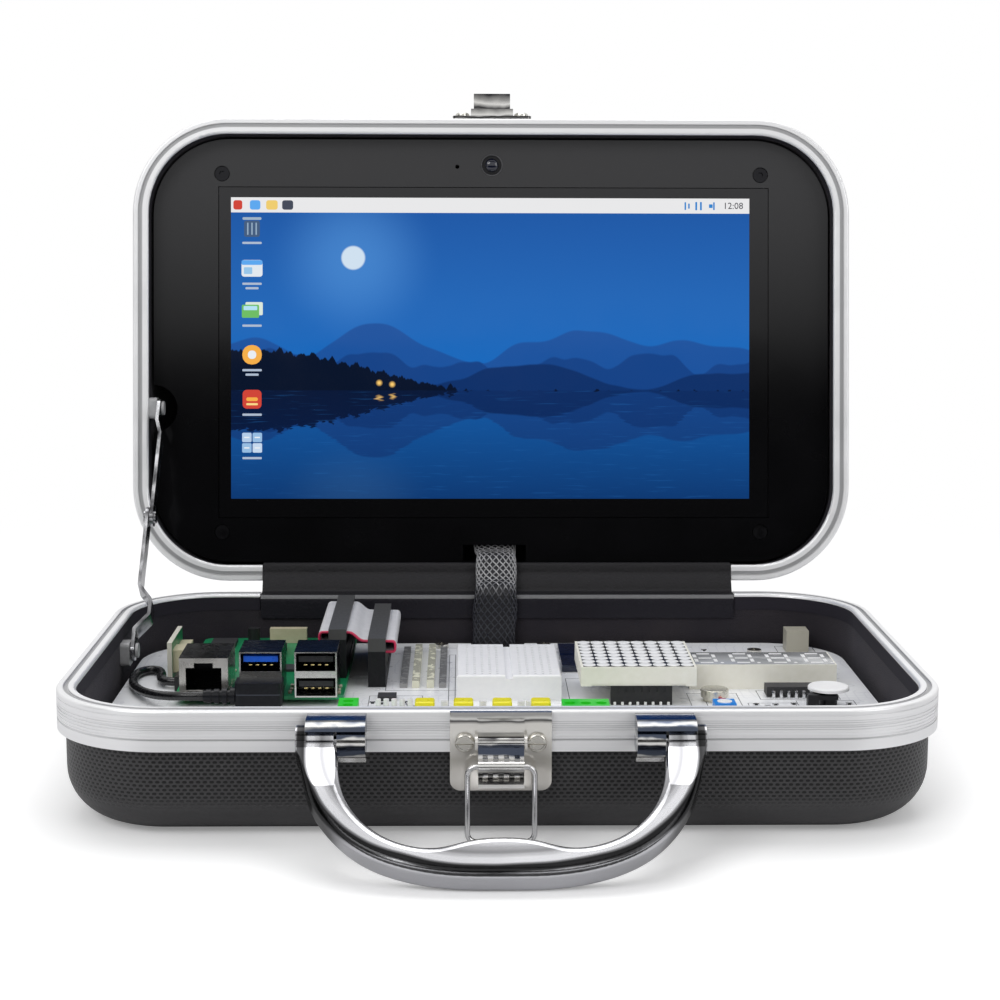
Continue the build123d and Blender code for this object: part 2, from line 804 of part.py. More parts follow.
# Pins that the handle and the latch's lever turn on
lever_axis_y = front_face - lever_pivot_out
lever_axis_z = base_height - lever_pivot_drop
ear_inner_x = lever_width / 2 + 0.1
ear_outer_x = ear_inner_x + ear_thickness
with BuildPart() as pivot_pins:
    with BuildSketch(bracket_plane):
        Circle(handle_pin_radius)
    extrude(amount=handle_half - 0.6 - cheek_inner_x)
    mirror(about=Plane.YZ)
    with BuildSketch(Plane((-ear_outer_x, lever_axis_y, lever_axis_z), x_dir=(0, 1, 0), z_dir=(1, 0, 0))):
        Circle(latch_pin_radius)
    extrude(amount=2 * ear_outer_x)
save(pivot_pins.part, "pivot_pins")

# Latch plate on the frame's front, with ears for the lever's pin
plate_plane = Plane((0, front_face, base_height), x_dir=(1, 0, 0), z_dir=(0, -1, 0))
with BuildPart() as latch_plate:
    with BuildSketch(plate_plane):
        with Locations((0, -latch_plate_height / 2)):
            RectangleRounded(latch_plate_width, latch_plate_height, latch_corner_radius)
        with Locations((0, -latch_corner_radius / 2)):
            Rectangle(latch_plate_width, latch_corner_radius)
    extrude(amount=latch_plate_thickness)
    with BuildSketch(plate_plane.offset(latch_plate_thickness)):
        with Locations((0, -0.6)):
            Rectangle(latch_plate_width - 0.4, 1.2)
        with Locations((0, -2.6)):
            Rectangle(lever_width, 0.8)
    extrude(amount=1.0)
    with BuildSketch(plate_plane.offset(latch_plate_thickness)):
        with Locations((0, -latch_plate_height / 2 + 1)):
            Rectangle(lever_width + 0.6, latch_plate_height - 6)
    extrude(amount=latch_centre_rise)
    for end in (-1, 1):
        ear_start = ear_inner_x if end > 0 else -ear_outer_x
        ear_plane = Plane((ear_start, lever_axis_y, lever_axis_z), x_dir=(0, 1, 0), z_dir=(1, 0, 0))
        with BuildSketch(ear_plane):
            Circle(latch_pin_radius + 1.4)
            with Locations((lever_pivot_out / 2 - latch_plate_thickness / 2, 0)):
                Rectangle(lever_pivot_out - latch_plate_thickness, 2 * latch_pin_radius + 2.8)
        extrude(amount=ear_thickness)
        with BuildSketch(ear_plane):
            Circle(latch_pin_radius)
        extrude(amount=ear_thickness, mode=Mode.SUBTRACT)
    with BuildSketch(plate_plane):
        with Locations((-latch_screw_x, -latch_screw_drop), (latch_screw_x, -latch_screw_drop)):
            Circle(latch_screw_radius)
    extrude(amount=latch_plate_thickness, mode=Mode.SUBTRACT)
save(latch_plate.part, "latch_plate")

# Slotted screws that hold the latch plate
with BuildPart() as front_screws:
    with BuildSketch(plate_plane.offset(latch_plate_thickness)):
        with Locations((-latch_screw_x, -latch_screw_drop), (latch_screw_x, -latch_screw_drop)):
            Circle(latch_screw_head_radius)
    extrude(amount=1.7)
    fillet(front_screws.faces().sort_by(Axis.Y)[:2].edges(), 1.0)
    with BuildSketch(plate_plane.offset(latch_plate_thickness + 1.0)):
        with Locations((-latch_screw_x, -latch_screw_drop), (latch_screw_x, -latch_screw_drop)):
            Rectangle(3 * latch_screw_head_radius, 0.9)
    extrude(amount=1, mode=Mode.SUBTRACT)
    with BuildSketch(plate_plane):
        with Locations((-latch_screw_x, -latch_screw_drop), (latch_screw_x, -latch_screw_drop)):
            Circle(latch_screw_radius)
    extrude(amount=latch_plate_thickness)
save(front_screws.part, "front_screws")

# Lever of the draw latch, with four finger ribs and the eyes that hold the bail
bail_axis_y = front_face - bail_out
bail_axis_z = base_height - bail_drop
lever_low_z = lever_axis_z - lever_length
lever_route = [
    (lever_axis_y - 0.7, lever_axis_z + 0.4),
    (lever_axis_y - 1.1, bail_axis_z + 0.4),
    (lever_axis_y - 2.0, lever_low_z + 1.6),
    (lever_axis_y - 5.1, lever_low_z),
]
with BuildPart() as latch_lever:
    with BuildSketch(Plane.YZ):
        strip_profile(lever_route, lever_thickness, 1.0)
        with Locations((lever_axis_y, lever_axis_z)):
            Circle(lever_barrel_radius)
        with Locations((bail_axis_y, bail_axis_z)):
            Circle(lever_barrel_radius)
    extrude(amount=lever_width / 2, both=True)
    with Locations((0, lever_axis_y - 2.6, (lever_low_z + bail_axis_z) / 2 + 2.6)):
        with GridLocations(3.1, 1, 4, 1):
            Box(1.5, 2.4, 5.6)
    with BuildSketch(Plane.YZ.offset(-lever_width / 2)):
        with Locations((lever_axis_y, lever_axis_z)):
            Circle(latch_pin_radius + running_clearance)
        with Locations((bail_axis_y, bail_axis_z)):
            Circle(bail_wire_radius + running_clearance)
    extrude(amount=lever_width, mode=Mode.SUBTRACT)
save(latch_lever.part, "latch_lever")

# Wire bail that hangs from the lever and hooks over the keeper when the case is shut
bail_half = bail_width / 2
bail_end_x = lever_width / 2 - 2.6
bail_bottom_z = bail_axis_z - bail_length
with BuildPart() as latch_bail:
    with BuildLine(Plane((0, bail_axis_y, 0), x_dir=(1, 0, 0), z_dir=(0, -1, 0))) as bail_path:
        FilletPolyline(
            (-bail_end_x, bail_axis_z),
            (-bail_half, bail_axis_z),
            (-bail_half, bail_bottom_z),
            (bail_half, bail_bottom_z),
            (bail_half, bail_axis_z),
            (bail_end_x, bail_axis_z),
            radius=bail_bend_radius,
        )
    with BuildSketch(Plane((-bail_end_x, bail_axis_y, bail_axis_z), x_dir=(0, 1, 0), z_dir=(-1, 0, 0))):
        Circle(bail_wire_radius)
    sweep(path=bail_path.wires()[0])
save(latch_bail.part, "latch_bail")

# Lesson board on its posts
board_inset = interior_inset + board_side_gap
post_places = [
    (-board_screw_x, board_screw_front),
    (board_screw_x, board_screw_front),
    (-board_screw_x, board_screw_side),
    (board_screw_side_x, board_screw_side),
    (-board_screw_rear_x, board_screw_rear),
    (board_screw_rear_x, board_screw_rear),
]
board_back = half_depth - board_inset
with BuildPart() as main_board:
    with BuildSketch(Plane.XY.offset(board_bottom)):
        rounded(board_inset)
        with Locations((spine_x, board_back)):
            Rectangle(cable_notch_width, 2 * cable_notch_depth, mode=Mode.SUBTRACT)
        with Locations(*post_places):
            Circle(board_screw_shank + 0.2, mode=Mode.SUBTRACT)
    extrude(amount=board_thickness)
save(main_board.part, "main_board")

# Posts that stand on the lining and follow its curve at the foot, and the computer's spacers
tray_space = tub(
    base_rim,
    interior_inset,
    lining_floor - base_height,
    -frame_lip_height,
    shell_edge_radius - shell_wall - lining_thickness,
)
with BuildPart() as standoffs:
    for x, y in post_places:
        post(x, y, standoff_radius, shell_wall, board_bottom)
        post(x, y, board_screw_shank, board_bottom - 7, board_bottom, Mode.SUBTRACT)
    add(tray_space, mode=Mode.INTERSECT)
    with BuildSketch(Plane.XY.offset(board_top)):
        with Locations((computer_x, computer_y)):
            with GridLocations(computer_width - 7, computer_length - 27.6, 2, 2):
                Circle(2.6)
    extrude(amount=computer_spacer)
save(standoffs.part, "standoffs")

with BuildPart() as board_screws:
    for x, y in post_places:
        post(x, y, board_screw_radius, board_top, board_top + 1.5)
        post(x, y, board_screw_shank, board_bottom - 7, board_top)
        with Locations((x, y, board_top + 1.5)):
            Box(3.4, 0.7, 1.2, mode=Mode.SUBTRACT)
            Box(0.7, 3.4, 1.2, mode=Mode.SUBTRACT)
save(board_screws.part, "board_screws")

# Small computer's board
with BuildPart() as computer_board:
    with BuildSketch(Plane.XY.offset(computer_bottom)):
        with Locations((computer_x, computer_y)):
            RectangleRounded(computer_width, computer_length, 3.0)
    extrude(amount=computer_thickness)
save(computer_board.part, "computer_board")

# Network jack, open to the front
port_front = computer_front - port_overhang
network_x = computer_right - network_inset
with BuildPart() as network_jack:
    block(network_x, port_front + network_depth / 2, network_width, network_depth,
          computer_top, computer_top + network_height)
    block(network_x, port_front + 6, 11.7, 12, computer_top + 2.6, computer_top + 10.0, Mode.SUBTRACT)
    block(network_x, port_front + 6, 6.2, 12, computer_top + 9, computer_top + 11.6, Mode.SUBTRACT)
save(network_jack.part, "network_jack")

# Two double USB sockets in metal shields, each with two plastic tongues
usb_places = [computer_right - usb_right_inset - usb_pitch, computer_right - usb_right_inset]
port_width = usb_width - 2 * socket_wall
port_height = (usb_height - 3 * socket_wall - usb_divider) / 2
port_levels = [
    computer_top + socket_wall + level * (port_height + usb_divider + socket_wall) for level in (0, 1)
]
with BuildPart() as usb_shields:
    for socket_x in usb_places:
        block(socket_x, port_front + usb_depth / 2, usb_width, usb_depth,
              computer_top, computer_top + usb_height)
        for low in port_levels:
            block(socket_x, port_front + usb_port_depth / 2, port_width, usb_port_depth,
                  low, low + port_height, Mode.SUBTRACT)
save(usb_shields.part, "usb_shields")

with BuildPart() as usb_tongues:
    for socket_x in usb_places:
        for low in port_levels:
            middle = low + tongue_share * port_height
            block(socket_x, port_front + (usb_port_depth + tongue_setback) / 2, port_width - 1.6,
                  usb_port_depth - tongue_setback, middle - tongue_half, middle + tongue_half)
save(usb_tongues.part, "usb_tongues")

# Ribbon cable between the computer and the lesson board, with a clamping plug at each end
left_plug_low = computer_top
right_plug_low = board_top
slot_gap = ribbon_thickness + 0.3
plug_places = [
    (left_plug_x, ribbon_y, left_plug_low),
    (right_plug_x, ribbon_y, right_plug_low),
]
with BuildPart() as ribbon_plugs:
    for x, y, low in plug_places:
        high = low + ribbon_plug_height
        block(x, y, ribbon_plug_width, ribbon_plug_length, low, high)
        for drop in (ribbon_upper_drop, ribbon_lower_drop):
            block(x, y, ribbon_plug_width, ribbon_width + 0.6, high - drop - slot_gap / 2,
                  high - drop + slot_gap / 2, Mode.SUBTRACT)
        with Locations((x + 2.9, y, low + 3.4)):
            Box(0.6, 24, 2.0, mode=Mode.SUBTRACT)
save(ribbon_plugs.part, "ribbon_plugs")

left_upper_z = left_plug_low + ribbon_plug_height - ribbon_upper_drop
left_lower_z = left_plug_low + ribbon_plug_height - ribbon_lower_drop
right_upper_z = right_plug_low + ribbon_plug_height - ribbon_upper_drop
right_lower_z = right_plug_low + ribbon_plug_height - ribbon_lower_drop
half_plug = ribbon_plug_width / 2
ribbon_route = [
    (left_plug_x + half_plug - 0.6, left_lower_z),
    (left_plug_x - half_plug - 3.4, left_lower_z),
    (left_plug_x - half_plug - 3.4, left_upper_z),
    (left_plug_x + half_plug + 1.0, left_upper_z),
    ((left_plug_x + right_plug_x) / 2 + 0.4, right_upper_z),
    (right_plug_x + half_plug + 3.2, right_upper_z),
    (right_plug_x + half_plug + 3.2, right_lower_z),
    (right_plug_x - half_plug + 0.6, right_lower_z),
]
loop_radius = (ribbon_lower_drop - ribbon_upper_drop) / 2 - 0.05
ribbon_radii = [loop_radius, loop_radius, 2.5, 2.5, loop_radius, loop_radius]
with BuildPart() as ribbon_cable:
    with BuildSketch(Plane.XZ.offset(-ribbon_y - ribbon_width / 2)):
        with BuildLine() as ribbon_line:
            FilletPolyline(*ribbon_route, radius=ribbon_radii)
        trace(ribbon_line.edges(), ribbon_thickness)
    extrude(amount=ribbon_width)
save(ribbon_cable.part, "ribbon_cable")

# Upright adapter board beside the computer, and its two pale plugs
adapter_x = computer_x - computer_width / 2 - adapter_gap
with BuildPart() as adapter_board:
    block(adapter_x, 32.5, adapter_thickness, 27.0, board_top, board_top + adapter_height)
save(adapter_board.part, "adapter_board")

# Camera cable socket, audio socket, lead socket, power inlet and the adapter board's two plugs
adapter_face_x = adapter_x + adapter_thickness / 2
with BuildPart() as small_sockets:
    block(-75.2, 67.5, 13.5, 3.4, computer_top, computer_top + 5.3)
    post(-88.0, 68.0, 2.2, computer_top, computer_top + 5.2)
    block(lead_socket_x, lead_socket_y, lead_socket_depth, 8.0, board_top, board_top + 5.0)
    block(112.0, 66.4, 8.2, 8.0, board_top, board_top + 8.2)
    block(adapter_face_x + 2.0, 25.5, 4.0, 9.5, computer_top, computer_top + 7.8)
    block(adapter_face_x + 2.0, 38.5, 4.0, 11.0, computer_top, computer_top + 6.3)
save(small_sockets.part, "small_sockets")

# White breadboard with its tie points and centre channel
breadboard_top = board_top + breadboard_height
with BuildPart() as breadboard:
    with BuildSketch(Plane.XY.offset(board_top)):
        with Locations((breadboard_x, breadboard_y)):
            Rectangle(breadboard_width, breadboard_length)
    extrude(amount=breadboard_height)
    fillet(breadboard.faces().sort_by(Axis.Z)[-1].edges(), 0.8)
    with BuildSketch(Plane.XY.offset(breadboard_top)):
        with Locations((breadboard_x, breadboard_y)):
            Rectangle(2.4, breadboard_length)
        for side in (-1, 1):
            with Locations((breadboard_x + side * 3.5 * hole_pitch, breadboard_y)):
                with GridLocations(hole_pitch, hole_pitch, 5, 17):
                    Rectangle(0.9, 0.9)
    extrude(amount=-1.2, mode=Mode.SUBTRACT)
save(breadboard.part, "breadboard")

# Light matrix on two rows of sockets
with BuildPart() as led_matrix:
    block(matrix_x, matrix_y, matrix_side, matrix_side, matrix_top - matrix_height, matrix_top)
    block(matrix_x, matrix_y - matrix_side / 2, matrix_side - 7, 1.6,
          matrix_top - matrix_height, matrix_top - matrix_height + 0.8, Mode.SUBTRACT)
save(led_matrix.part, "led_matrix")

with BuildPart() as pin_headers:
    header_top = matrix_top - matrix_height
    for row_y in (matrix_y - 12.7, matrix_y + 12.7):
        block(matrix_x + 1.4, row_y, 8 * hole_pitch, 2.5, board_top, header_top)
        with Locations((matrix_x + 1.4, row_y - 1.25, header_top)):
            with GridLocations(hole_pitch, 1, 7, 1):
                Box(0.5, 0.5, 6, mode=Mode.SUBTRACT)
    for row_x in (-31.4, -18.0):
        block(row_x, 39.0, 2.5, 22 * hole_pitch, board_top, board_top + 1.6)
    for row_x in (-27.2, -22.2):
        block(row_x, 39.0, 2.5, 22 * hole_pitch, board_top, board_top + 2.6)
save(pin_headers.part, "pin_headers")

# Four-digit display
with BuildPart() as digit_display:
    block(digits_x, digits_y, digits_width, digits_depth, board_top, board_top + digits_height)
    block(digits_x, digits_y, digits_width - 8, digits_depth - 5, board_top, board_top + 1.2, Mode.SUBTRACT)
save(digit_display.part, "digit_display")

# Two dark sensor tiles beside the breadboard
with BuildPart() as sensor_tiles:
    tile_x = breadboard_x + breadboard_width / 2 + 9.6
    block(tile_x, 41.5, 15.0, 16.0, board_top, board_top + 2.4)
    block(tile_x, 60.3, 15.0, 16.0, board_top, board_top + 2.4)
save(sensor_tiles.part, "sensor_tiles")

# Push buttons: a housing and a sliding cap each
button_places = [button_first_x + number * button_pitch for number in range(button_count)]
housing_top = board_top + button_housing_height
with BuildPart() as button_housings:
    for x in button_places:
        block(x, button_y, button_housing_width, button_housing_width, board_top, housing_top)
        block(x, button_y, button_stem + 2 * running_clearance, button_stem + 2 * running_clearance,
              board_top + 1.0, housing_top, Mode.SUBTRACT)
save(button_housings.part, "button_housings")

for number, x in enumerate(button_places, start=1):
    with BuildPart() as button_cap:
        with BuildSketch(Plane.XY.offset(housing_top + button_stroke + 0.2)):
            with Locations((x, button_y)):
                RectangleRounded(button_cap_width, button_cap_width, 1.0)
        extrude(amount=button_cap_top - housing_top - button_stroke - 0.2)
        fillet(button_cap.faces().sort_by(Axis.Z)[-1].edges(), 0.7)
        block(x, button_y, button_stem, button_stem, board_top + 1.0 + button_stroke + 0.2,
              housing_top + button_stroke + 0.4)
    save(button_cap.part, f"button_cap_{number}")

# Round sounder can
with BuildPart() as buzzer:
    post(73.0, -6.0, 3.9, board_top, board_top + 1.4)
    post(73.0, -6.0, 4.65, board_top + 1.4, board_top + 4.0)
    fillet(buzzer.faces().sort_by(Axis.Z)[-1].edges(), 0.3)
save(buzzer.part, "buzzer")

# Blue trimmer with a turning dial
with BuildPart() as trimmer_body:
    block(trimmer_x, trimmer_y, 7.0, 7.0, board_top, board_top + trimmer_height)
    post(trimmer_x, trimmer_y, trimmer_dial_radius + running_clearance, board_top + trimmer_height - 1.6,
         board_top + trimmer_height, Mode.SUBTRACT)
save(trimmer_body.part, "trimmer_body")

with BuildPart() as trimmer_dial:
    post(trimmer_x, trimmer_y, trimmer_dial_radius, board_top + trimmer_height - 1.55,
         board_top + trimmer_height + 0.2)
    with Locations((trimmer_x, trimmer_y, board_top + trimmer_height)):
        Box(2 * trimmer_dial_radius - 0.8, 0.7, 1.2, mode=Mode.SUBTRACT)
save(trimmer_dial.part, "trimmer_dial")

# Chips on the lesson board and on the computer
with BuildPart() as circuit_chips:
    block(102.0, 0.5, 22.0, 6.4, board_top + 0.4, board_top + 3.6)
    for side in (-1, 1):
        with Locations((102.0, 0.5 + side * 3.6, board_top + 1.0)):
            with GridLocations(hole_pitch, 1, 8, 1):
                Box(0.9, 0.9, 2.0)
    block(-36.4, -4.0, 6.2, 6.0, board_top, board_top + 1.6)
    block(computer_x - 4, computer_y + 18, 15, 15, computer_top, computer_top + 2.2)
    block(computer_x - 4, computer_y + 2, 14, 10, computer_top, computer_top + 1.0)
    block(computer_x - 20, computer_y + 31, 9, 12, computer_top, computer_top + 1.4)
    block(computer_x + 9, computer_y - 6, 8, 8, computer_top, computer_top + 0.9)
save(circuit_chips.part, "circuit_chips")

# Round white dish of the motion sensor on a black bracket
with BuildPart() as sensor_bracket:
    block(dish_x - 6.0, dish_y - 5.2, 3.6, 3.0, board_top, board_top + 5.4)
    block(dish_x - 2.0, dish_y - 3.4, 9.0, 3.0, board_top + 3.2, board_top + 4.8)
    post(dish_x, dish_y, 3.0, board_top, board_top + 4.8)
save(sensor_bracket.part, "sensor_bracket")

with BuildPart() as sensor_dome:
    low = board_top + 4.8
    with Locations((dish_x, dish_y, low + 0.5)):
        Cone(3.0, dish_radius, 1.0)
    post(dish_x, dish_y, dish_radius, low + 1.0, low + 2.2)
    fillet(sensor_dome.faces().sort_by(Axis.Z)[-1].edges(), 0.7)
save(sensor_dome.part, "sensor_dome")

# Green wire terminals at the front
with BuildPart() as terminal_blocks:
    block(27.8, -40.0, 15.0, 10.0, board_top, board_top + 8.0)
    block(-47.4, -39.5, 6.2, 13.0, board_top, board_top + 8.0)
    with Locations((27.8, -40.0, board_top + 8.0)):
        with GridLocations(5.0, 1, 3, 1):
            Cylinder(1.7, 2.4, mode=Mode.SUBTRACT)
    with Locations((-47.4, -39.5, board_top + 8.0)):
        with GridLocations(1, 5.0, 1, 2):
            Cylinder(1.7, 2.4, mode=Mode.SUBTRACT)
save(terminal_blocks.part, "terminal_blocks")

# Row of five small indicator lights on a dark strip, and lights between the buttons
with BuildPart() as indicator_leds:
    block(-33.4, -23.0, 13.5, 3.0, board_top, board_top + 2.0)
    for number in range(5):
        post(-38.6 + number * 2.6, -23.0, 0.9, board_top + 2.0, board_top + 5.0)
    for x in (-17.0, -4.6, 7.8, 10.5):
        post(x, -24.0, 1.2, board_top, board_top + 4.6)
save(indicator_leds.part, "indicator_leds")

# Right-angled USB plug in the left socket, with a ribbed strain relief
plug_x = usb_places[0]
relief_y = port_front - 5.5
plug_low = port_levels[0] + 0.4
tongue_low = port_levels[0] + tongue_share * port_height - tongue_half
with BuildPart() as usb_plug:
    block(plug_x, port_front - 4.5, plug_width, 9.0, plug_low - 1.6, plug_low + 6.0)
    fillet(usb_plug.edges().filter_by(Axis.Z).sort_by(Axis.Y)[:2], 1.5)
    block(plug_x, port_front + 4.8, port_width - 0.5, 9.6, plug_low, plug_low + 5.3)
    block(plug_x, port_front + 5.3, port_width - 1.2, 8.6, tongue_low - 0.2, plug_low + 5.0, Mode.SUBTRACT)
    relief = Plane((plug_x - plug_width / 2, relief_y, lead_start_z), x_dir=(0, 1, 0), z_dir=(-1, 0, 0))
    with BuildSketch(relief):
        Circle(lead_diameter / 2 + 0.5)
    extrude(amount=relief_length)
    for number in range(4):
        with BuildSketch(relief.offset(number * 2.6)):
            Circle(2.9 - 0.2 * number)
        extrude(amount=1.6)
save(usb_plug.part, "usb_plug")

# The lead from the plug, round the corner of the tray and back to its socket
relief_end_x = plug_x - plug_width / 2 - relief_length
socket_face_x = lead_socket_x - lead_socket_depth / 2
lead_route = [
    (relief_end_x, relief_y, lead_start_z),
    (relief_end_x - 5.6, relief_y, lead_start_z),
    (-107.6, -16.6, 26.4),
    (-114.0, -9.6, 25.2),
    (-119.6, -0.6, 24.4),
    (-123.2, 9.4, 23.9),
    (-124.6, 19.0, 23.7),
    (-124.3, 26.4, 23.7),
    (-121.4, 31.0, 23.7),
    (-117.4, 30.4, 23.7),
    (-115.4, 25.0, 23.7),
    (-115.2, 17.6, 23.9),
    (socket_face_x - 4.0, lead_socket_y, 24.4),
    (socket_face_x, lead_socket_y, 24.4),
]
lead_points = [Vector(*point) for point in lead_route]
lead_radii = []
for before, here, after in zip(lead_points, lead_points[1:], lead_points[2:]):
    turn = (here - before).get_angle(after - here)
    shorter_run = min((here - before).length, (after - here).length)
    lead_radii.append(0.45 * shorter_run / math.tan(math.radians(turn / 2)))
print("lead radii", [round(radius, 1) for radius in lead_radii])
with BuildPart() as usb_lead:
    with BuildLine() as lead_path:
        FilletPolyline(*lead_route, radius=lead_radii)
    lead_start = lead_points[1] - lead_points[0]
    with BuildSketch(Plane(lead_route[0], z_dir=tuple(lead_start))):
        Circle(lead_diameter / 2)
    sweep(path=lead_path.wires()[0])
lead_length = lead_path.wires()[0].length
lead_section = math.pi * lead_diameter**2 / 4
print("lead length", round(lead_length, 1), "volume", round(usb_lead.part.volume, 1),
      "section times length", round(lead_section * lead_length, 1))
save(usb_lead.part, "usb_lead")

# Flat braided sleeve with the display's wires, over the hinge and down to the board
sleeve_route = [
    lid_point(17.0, -11.6),
    lid_point(10.4, -11.0),
    lid_point(9.9, 0.4),
    lid_point(5.0, 3.8),
    (half_depth - 3.5, base_height + 3.8),
    (half_depth - 9.0, base_height + 2.0),
    (half_depth - 9.2, base_height - 5.2),
    (half_depth - 9.2, board_bottom),
]
with BuildPart() as braided_sleeve:
    with BuildSketch(Plane.YZ.offset(sleeve_x - sleeve_width / 2)):
        strip_profile(sleeve_route, sleeve_thickness, 1.9)
    extrude(amount=sleeve_width)
    fillet(braided_sleeve.faces().sort_by(Axis.X)[-1].edges(), 1.4)
    fillet(braided_sleeve.faces().sort_by(Axis.X)[0].edges(), 1.4)
save(braided_sleeve.part, "braided_sleeve")
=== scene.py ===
# %% [markdown]
# This lesson dresses the imported model of an electronics learning kit: a small carrying case
# with aluminium frames, open on a table, with a display in its lid and a lesson board in its
# base. The CAD model is the fixed frame. It is loaded first, and most pieces that are made here
# ride on one of its bodies, so the lid, the handle and the latch still move; the hinge strip,
# the braid and its core ride on none.

# %% Load the frame
import bpy
import math
from functools import partialmethod
from mathutils import Matrix, Vector


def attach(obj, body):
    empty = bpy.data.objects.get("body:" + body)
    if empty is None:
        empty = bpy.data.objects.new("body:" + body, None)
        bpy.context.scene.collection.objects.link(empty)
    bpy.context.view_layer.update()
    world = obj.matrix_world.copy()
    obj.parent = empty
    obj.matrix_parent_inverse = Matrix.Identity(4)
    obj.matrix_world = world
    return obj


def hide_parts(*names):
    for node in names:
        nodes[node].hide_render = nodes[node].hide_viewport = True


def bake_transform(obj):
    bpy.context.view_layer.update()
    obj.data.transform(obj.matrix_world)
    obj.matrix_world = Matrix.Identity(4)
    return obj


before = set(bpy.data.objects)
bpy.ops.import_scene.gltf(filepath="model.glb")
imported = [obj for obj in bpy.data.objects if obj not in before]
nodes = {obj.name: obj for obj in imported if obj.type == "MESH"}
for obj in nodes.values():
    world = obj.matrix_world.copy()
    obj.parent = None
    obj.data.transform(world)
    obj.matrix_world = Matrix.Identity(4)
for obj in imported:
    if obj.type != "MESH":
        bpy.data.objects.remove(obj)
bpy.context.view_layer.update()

mm = 0.001

# %% [markdown]
# Blender's operators act on whatever is selected, so each step starts with nothing selected.
# A finished piece keeps its place in its mesh, with its object at the origin, as the CAD
# nodes do. These few words are used by every step that follows.

# %% Short words for modelling by hand
def put_down_everything():
    """Leave edit mode and deselect all."""
    if bpy.context.object and bpy.context.object.mode != "OBJECT":
        bpy.ops.object.mode_set(mode="OBJECT")
    bpy.ops.object.select_all(action="DESELECT")


def pick(piece):
    """Make one piece the selected and active one."""
    put_down_everything()
    piece.select_set(True)
    bpy.context.view_layer.objects.active = piece


def settle(piece):
    """Put the piece's place into its mesh."""
    pick(piece)
    bpy.ops.object.transform_apply(location=True, rotation=True, scale=True)
    return piece


def edit_all(piece):
    """Enter edit mode on a piece, with all of it selected."""
    pick(piece)
    bpy.ops.object.mode_set(mode="EDIT")
    bpy.ops.mesh.select_all(action="SELECT")


def leave_edit():
    """Leave edit mode."""
    bpy.ops.object.mode_set(mode="OBJECT")


def join(pieces):
    """Several loose shapes become one piece."""
    put_down_everything()
    for piece in pieces:
        piece.select_set(True)
    bpy.context.view_layer.objects.active = pieces[0]
    if len(pieces) > 1:
        bpy.ops.object.join()
    return bpy.context.view_layer.objects.active


def copies(piece, offsets):
    """Copies of a shape at these offsets in mm, each with its own mesh, joined with it."""
    made = [piece]
    for offset in offsets:
        twin = piece.copy()
        twin.data = piece.data.copy()
        twin.data.transform(Matrix.Translation([step * mm for step in offset]))
        bpy.context.collection.objects.link(twin)
        made.append(twin)
    return join(made)


def scatter(piece, spots):
    """Copies of a piece that stands at the first spot in mm, one at each other spot."""
    (first_x, first_y), *others = spots
    return copies(piece, [(x - first_x, y - first_y, 0) for x, y in others])


def select_faces(piece, wanted):
    """Select the faces that a rule picks by their centre and normal, and enter edit mode."""
    pick(piece)
    bpy.ops.object.mode_set(mode="EDIT")
    bpy.ops.mesh.select_mode(type="FACE")
    bpy.ops.mesh.select_all(action="DESELECT")
    bpy.ops.object.mode_set(mode="OBJECT")
    for face in piece.data.polygons:
        face.select = wanted(face.center / mm, face.normal)
    bpy.ops.object.mode_set(mode="EDIT")


def bevelled_block(low, high, edge, segments=2):
    """A block between two corners in mm, with its edges bevelled."""
    put_down_everything()
    middle = [(a + b) / 2 * mm for a, b in zip(low, high)]
    bpy.ops.mesh.primitive_cube_add(size=1, location=middle)
    piece = bpy.context.object
    piece.scale = [(b - a) * mm for a, b in zip(low, high)]
    edit_all(settle(piece))
    bpy.ops.mesh.bevel(offset=edge * mm, segments=segments, affect="EDGES")
    leave_edit()
    return piece


def standing_block(x, y, z, half_x, half_y, height, edge, segments=2):
    """A bevelled block that stands on a point in mm."""
    return bevelled_block((x - half_x, y - half_y, z), (x + half_x, y + half_y, z + height),
                          edge, segments)


def round_boss(centre, radius, height, edge, sides=24):
    """A short round boss that stands on a point in mm, its rims bevelled."""
    put_down_everything()
    x, y, z = centre
    bpy.ops.mesh.primitive_cylinder_add(vertices=sides, radius=radius * mm, depth=height * mm,
                                        location=(x * mm, y * mm, (z + height / 2) * mm))
    piece = settle(bpy.context.object)
    select_faces(piece, lambda place, normal: abs(normal.z) > 0.9)
    bpy.ops.mesh.bevel(offset=edge * mm, segments=2, affect="EDGES")
    leave_edit()
    return piece


def flat_plate(x, y, z, width, height):
    """A flat plate about a point in mm."""
    put_down_everything()
    bpy.ops.mesh.primitive_plane_add(size=1, location=(x * mm, y * mm, z * mm))
    plate = bpy.context.object
    plate.scale = (width * mm, height * mm, 1)
    return settle(plate)


def mesh_piece(name, points, faces, edges=()):
    """A piece from points in mm and the faces or edges between them."""
    mesh = bpy.data.meshes.new(name)
    mesh.from_pydata([point * mm for point in points], edges, faces)
    piece = bpy.data.objects.new(name, mesh)
    bpy.context.collection.objects.link(piece)
    return piece


def closed_tube(name, rings):
    """A tube through rings of points in mm, closed at both ends."""
    sides, rows = len(rings[0]), len(rings)
    faces = []
    for row in range(rows - 1):
        for corner in range(sides):
            following = (corner + 1) % sides
            faces.append((row * sides + corner, row * sides + following,
                          (row + 1) * sides + following, (row + 1) * sides + corner))
    faces.append(tuple(range(sides - 1, -1, -1)))
    faces.append(tuple((rows - 1) * sides + corner for corner in range(sides)))
    tube = mesh_piece(name, [point for ring in rings for point in ring], faces)
    edit_all(tube)
    bpy.ops.mesh.normals_make_consistent(inside=False)
    leave_edit()
    return tube


pieces_made = []


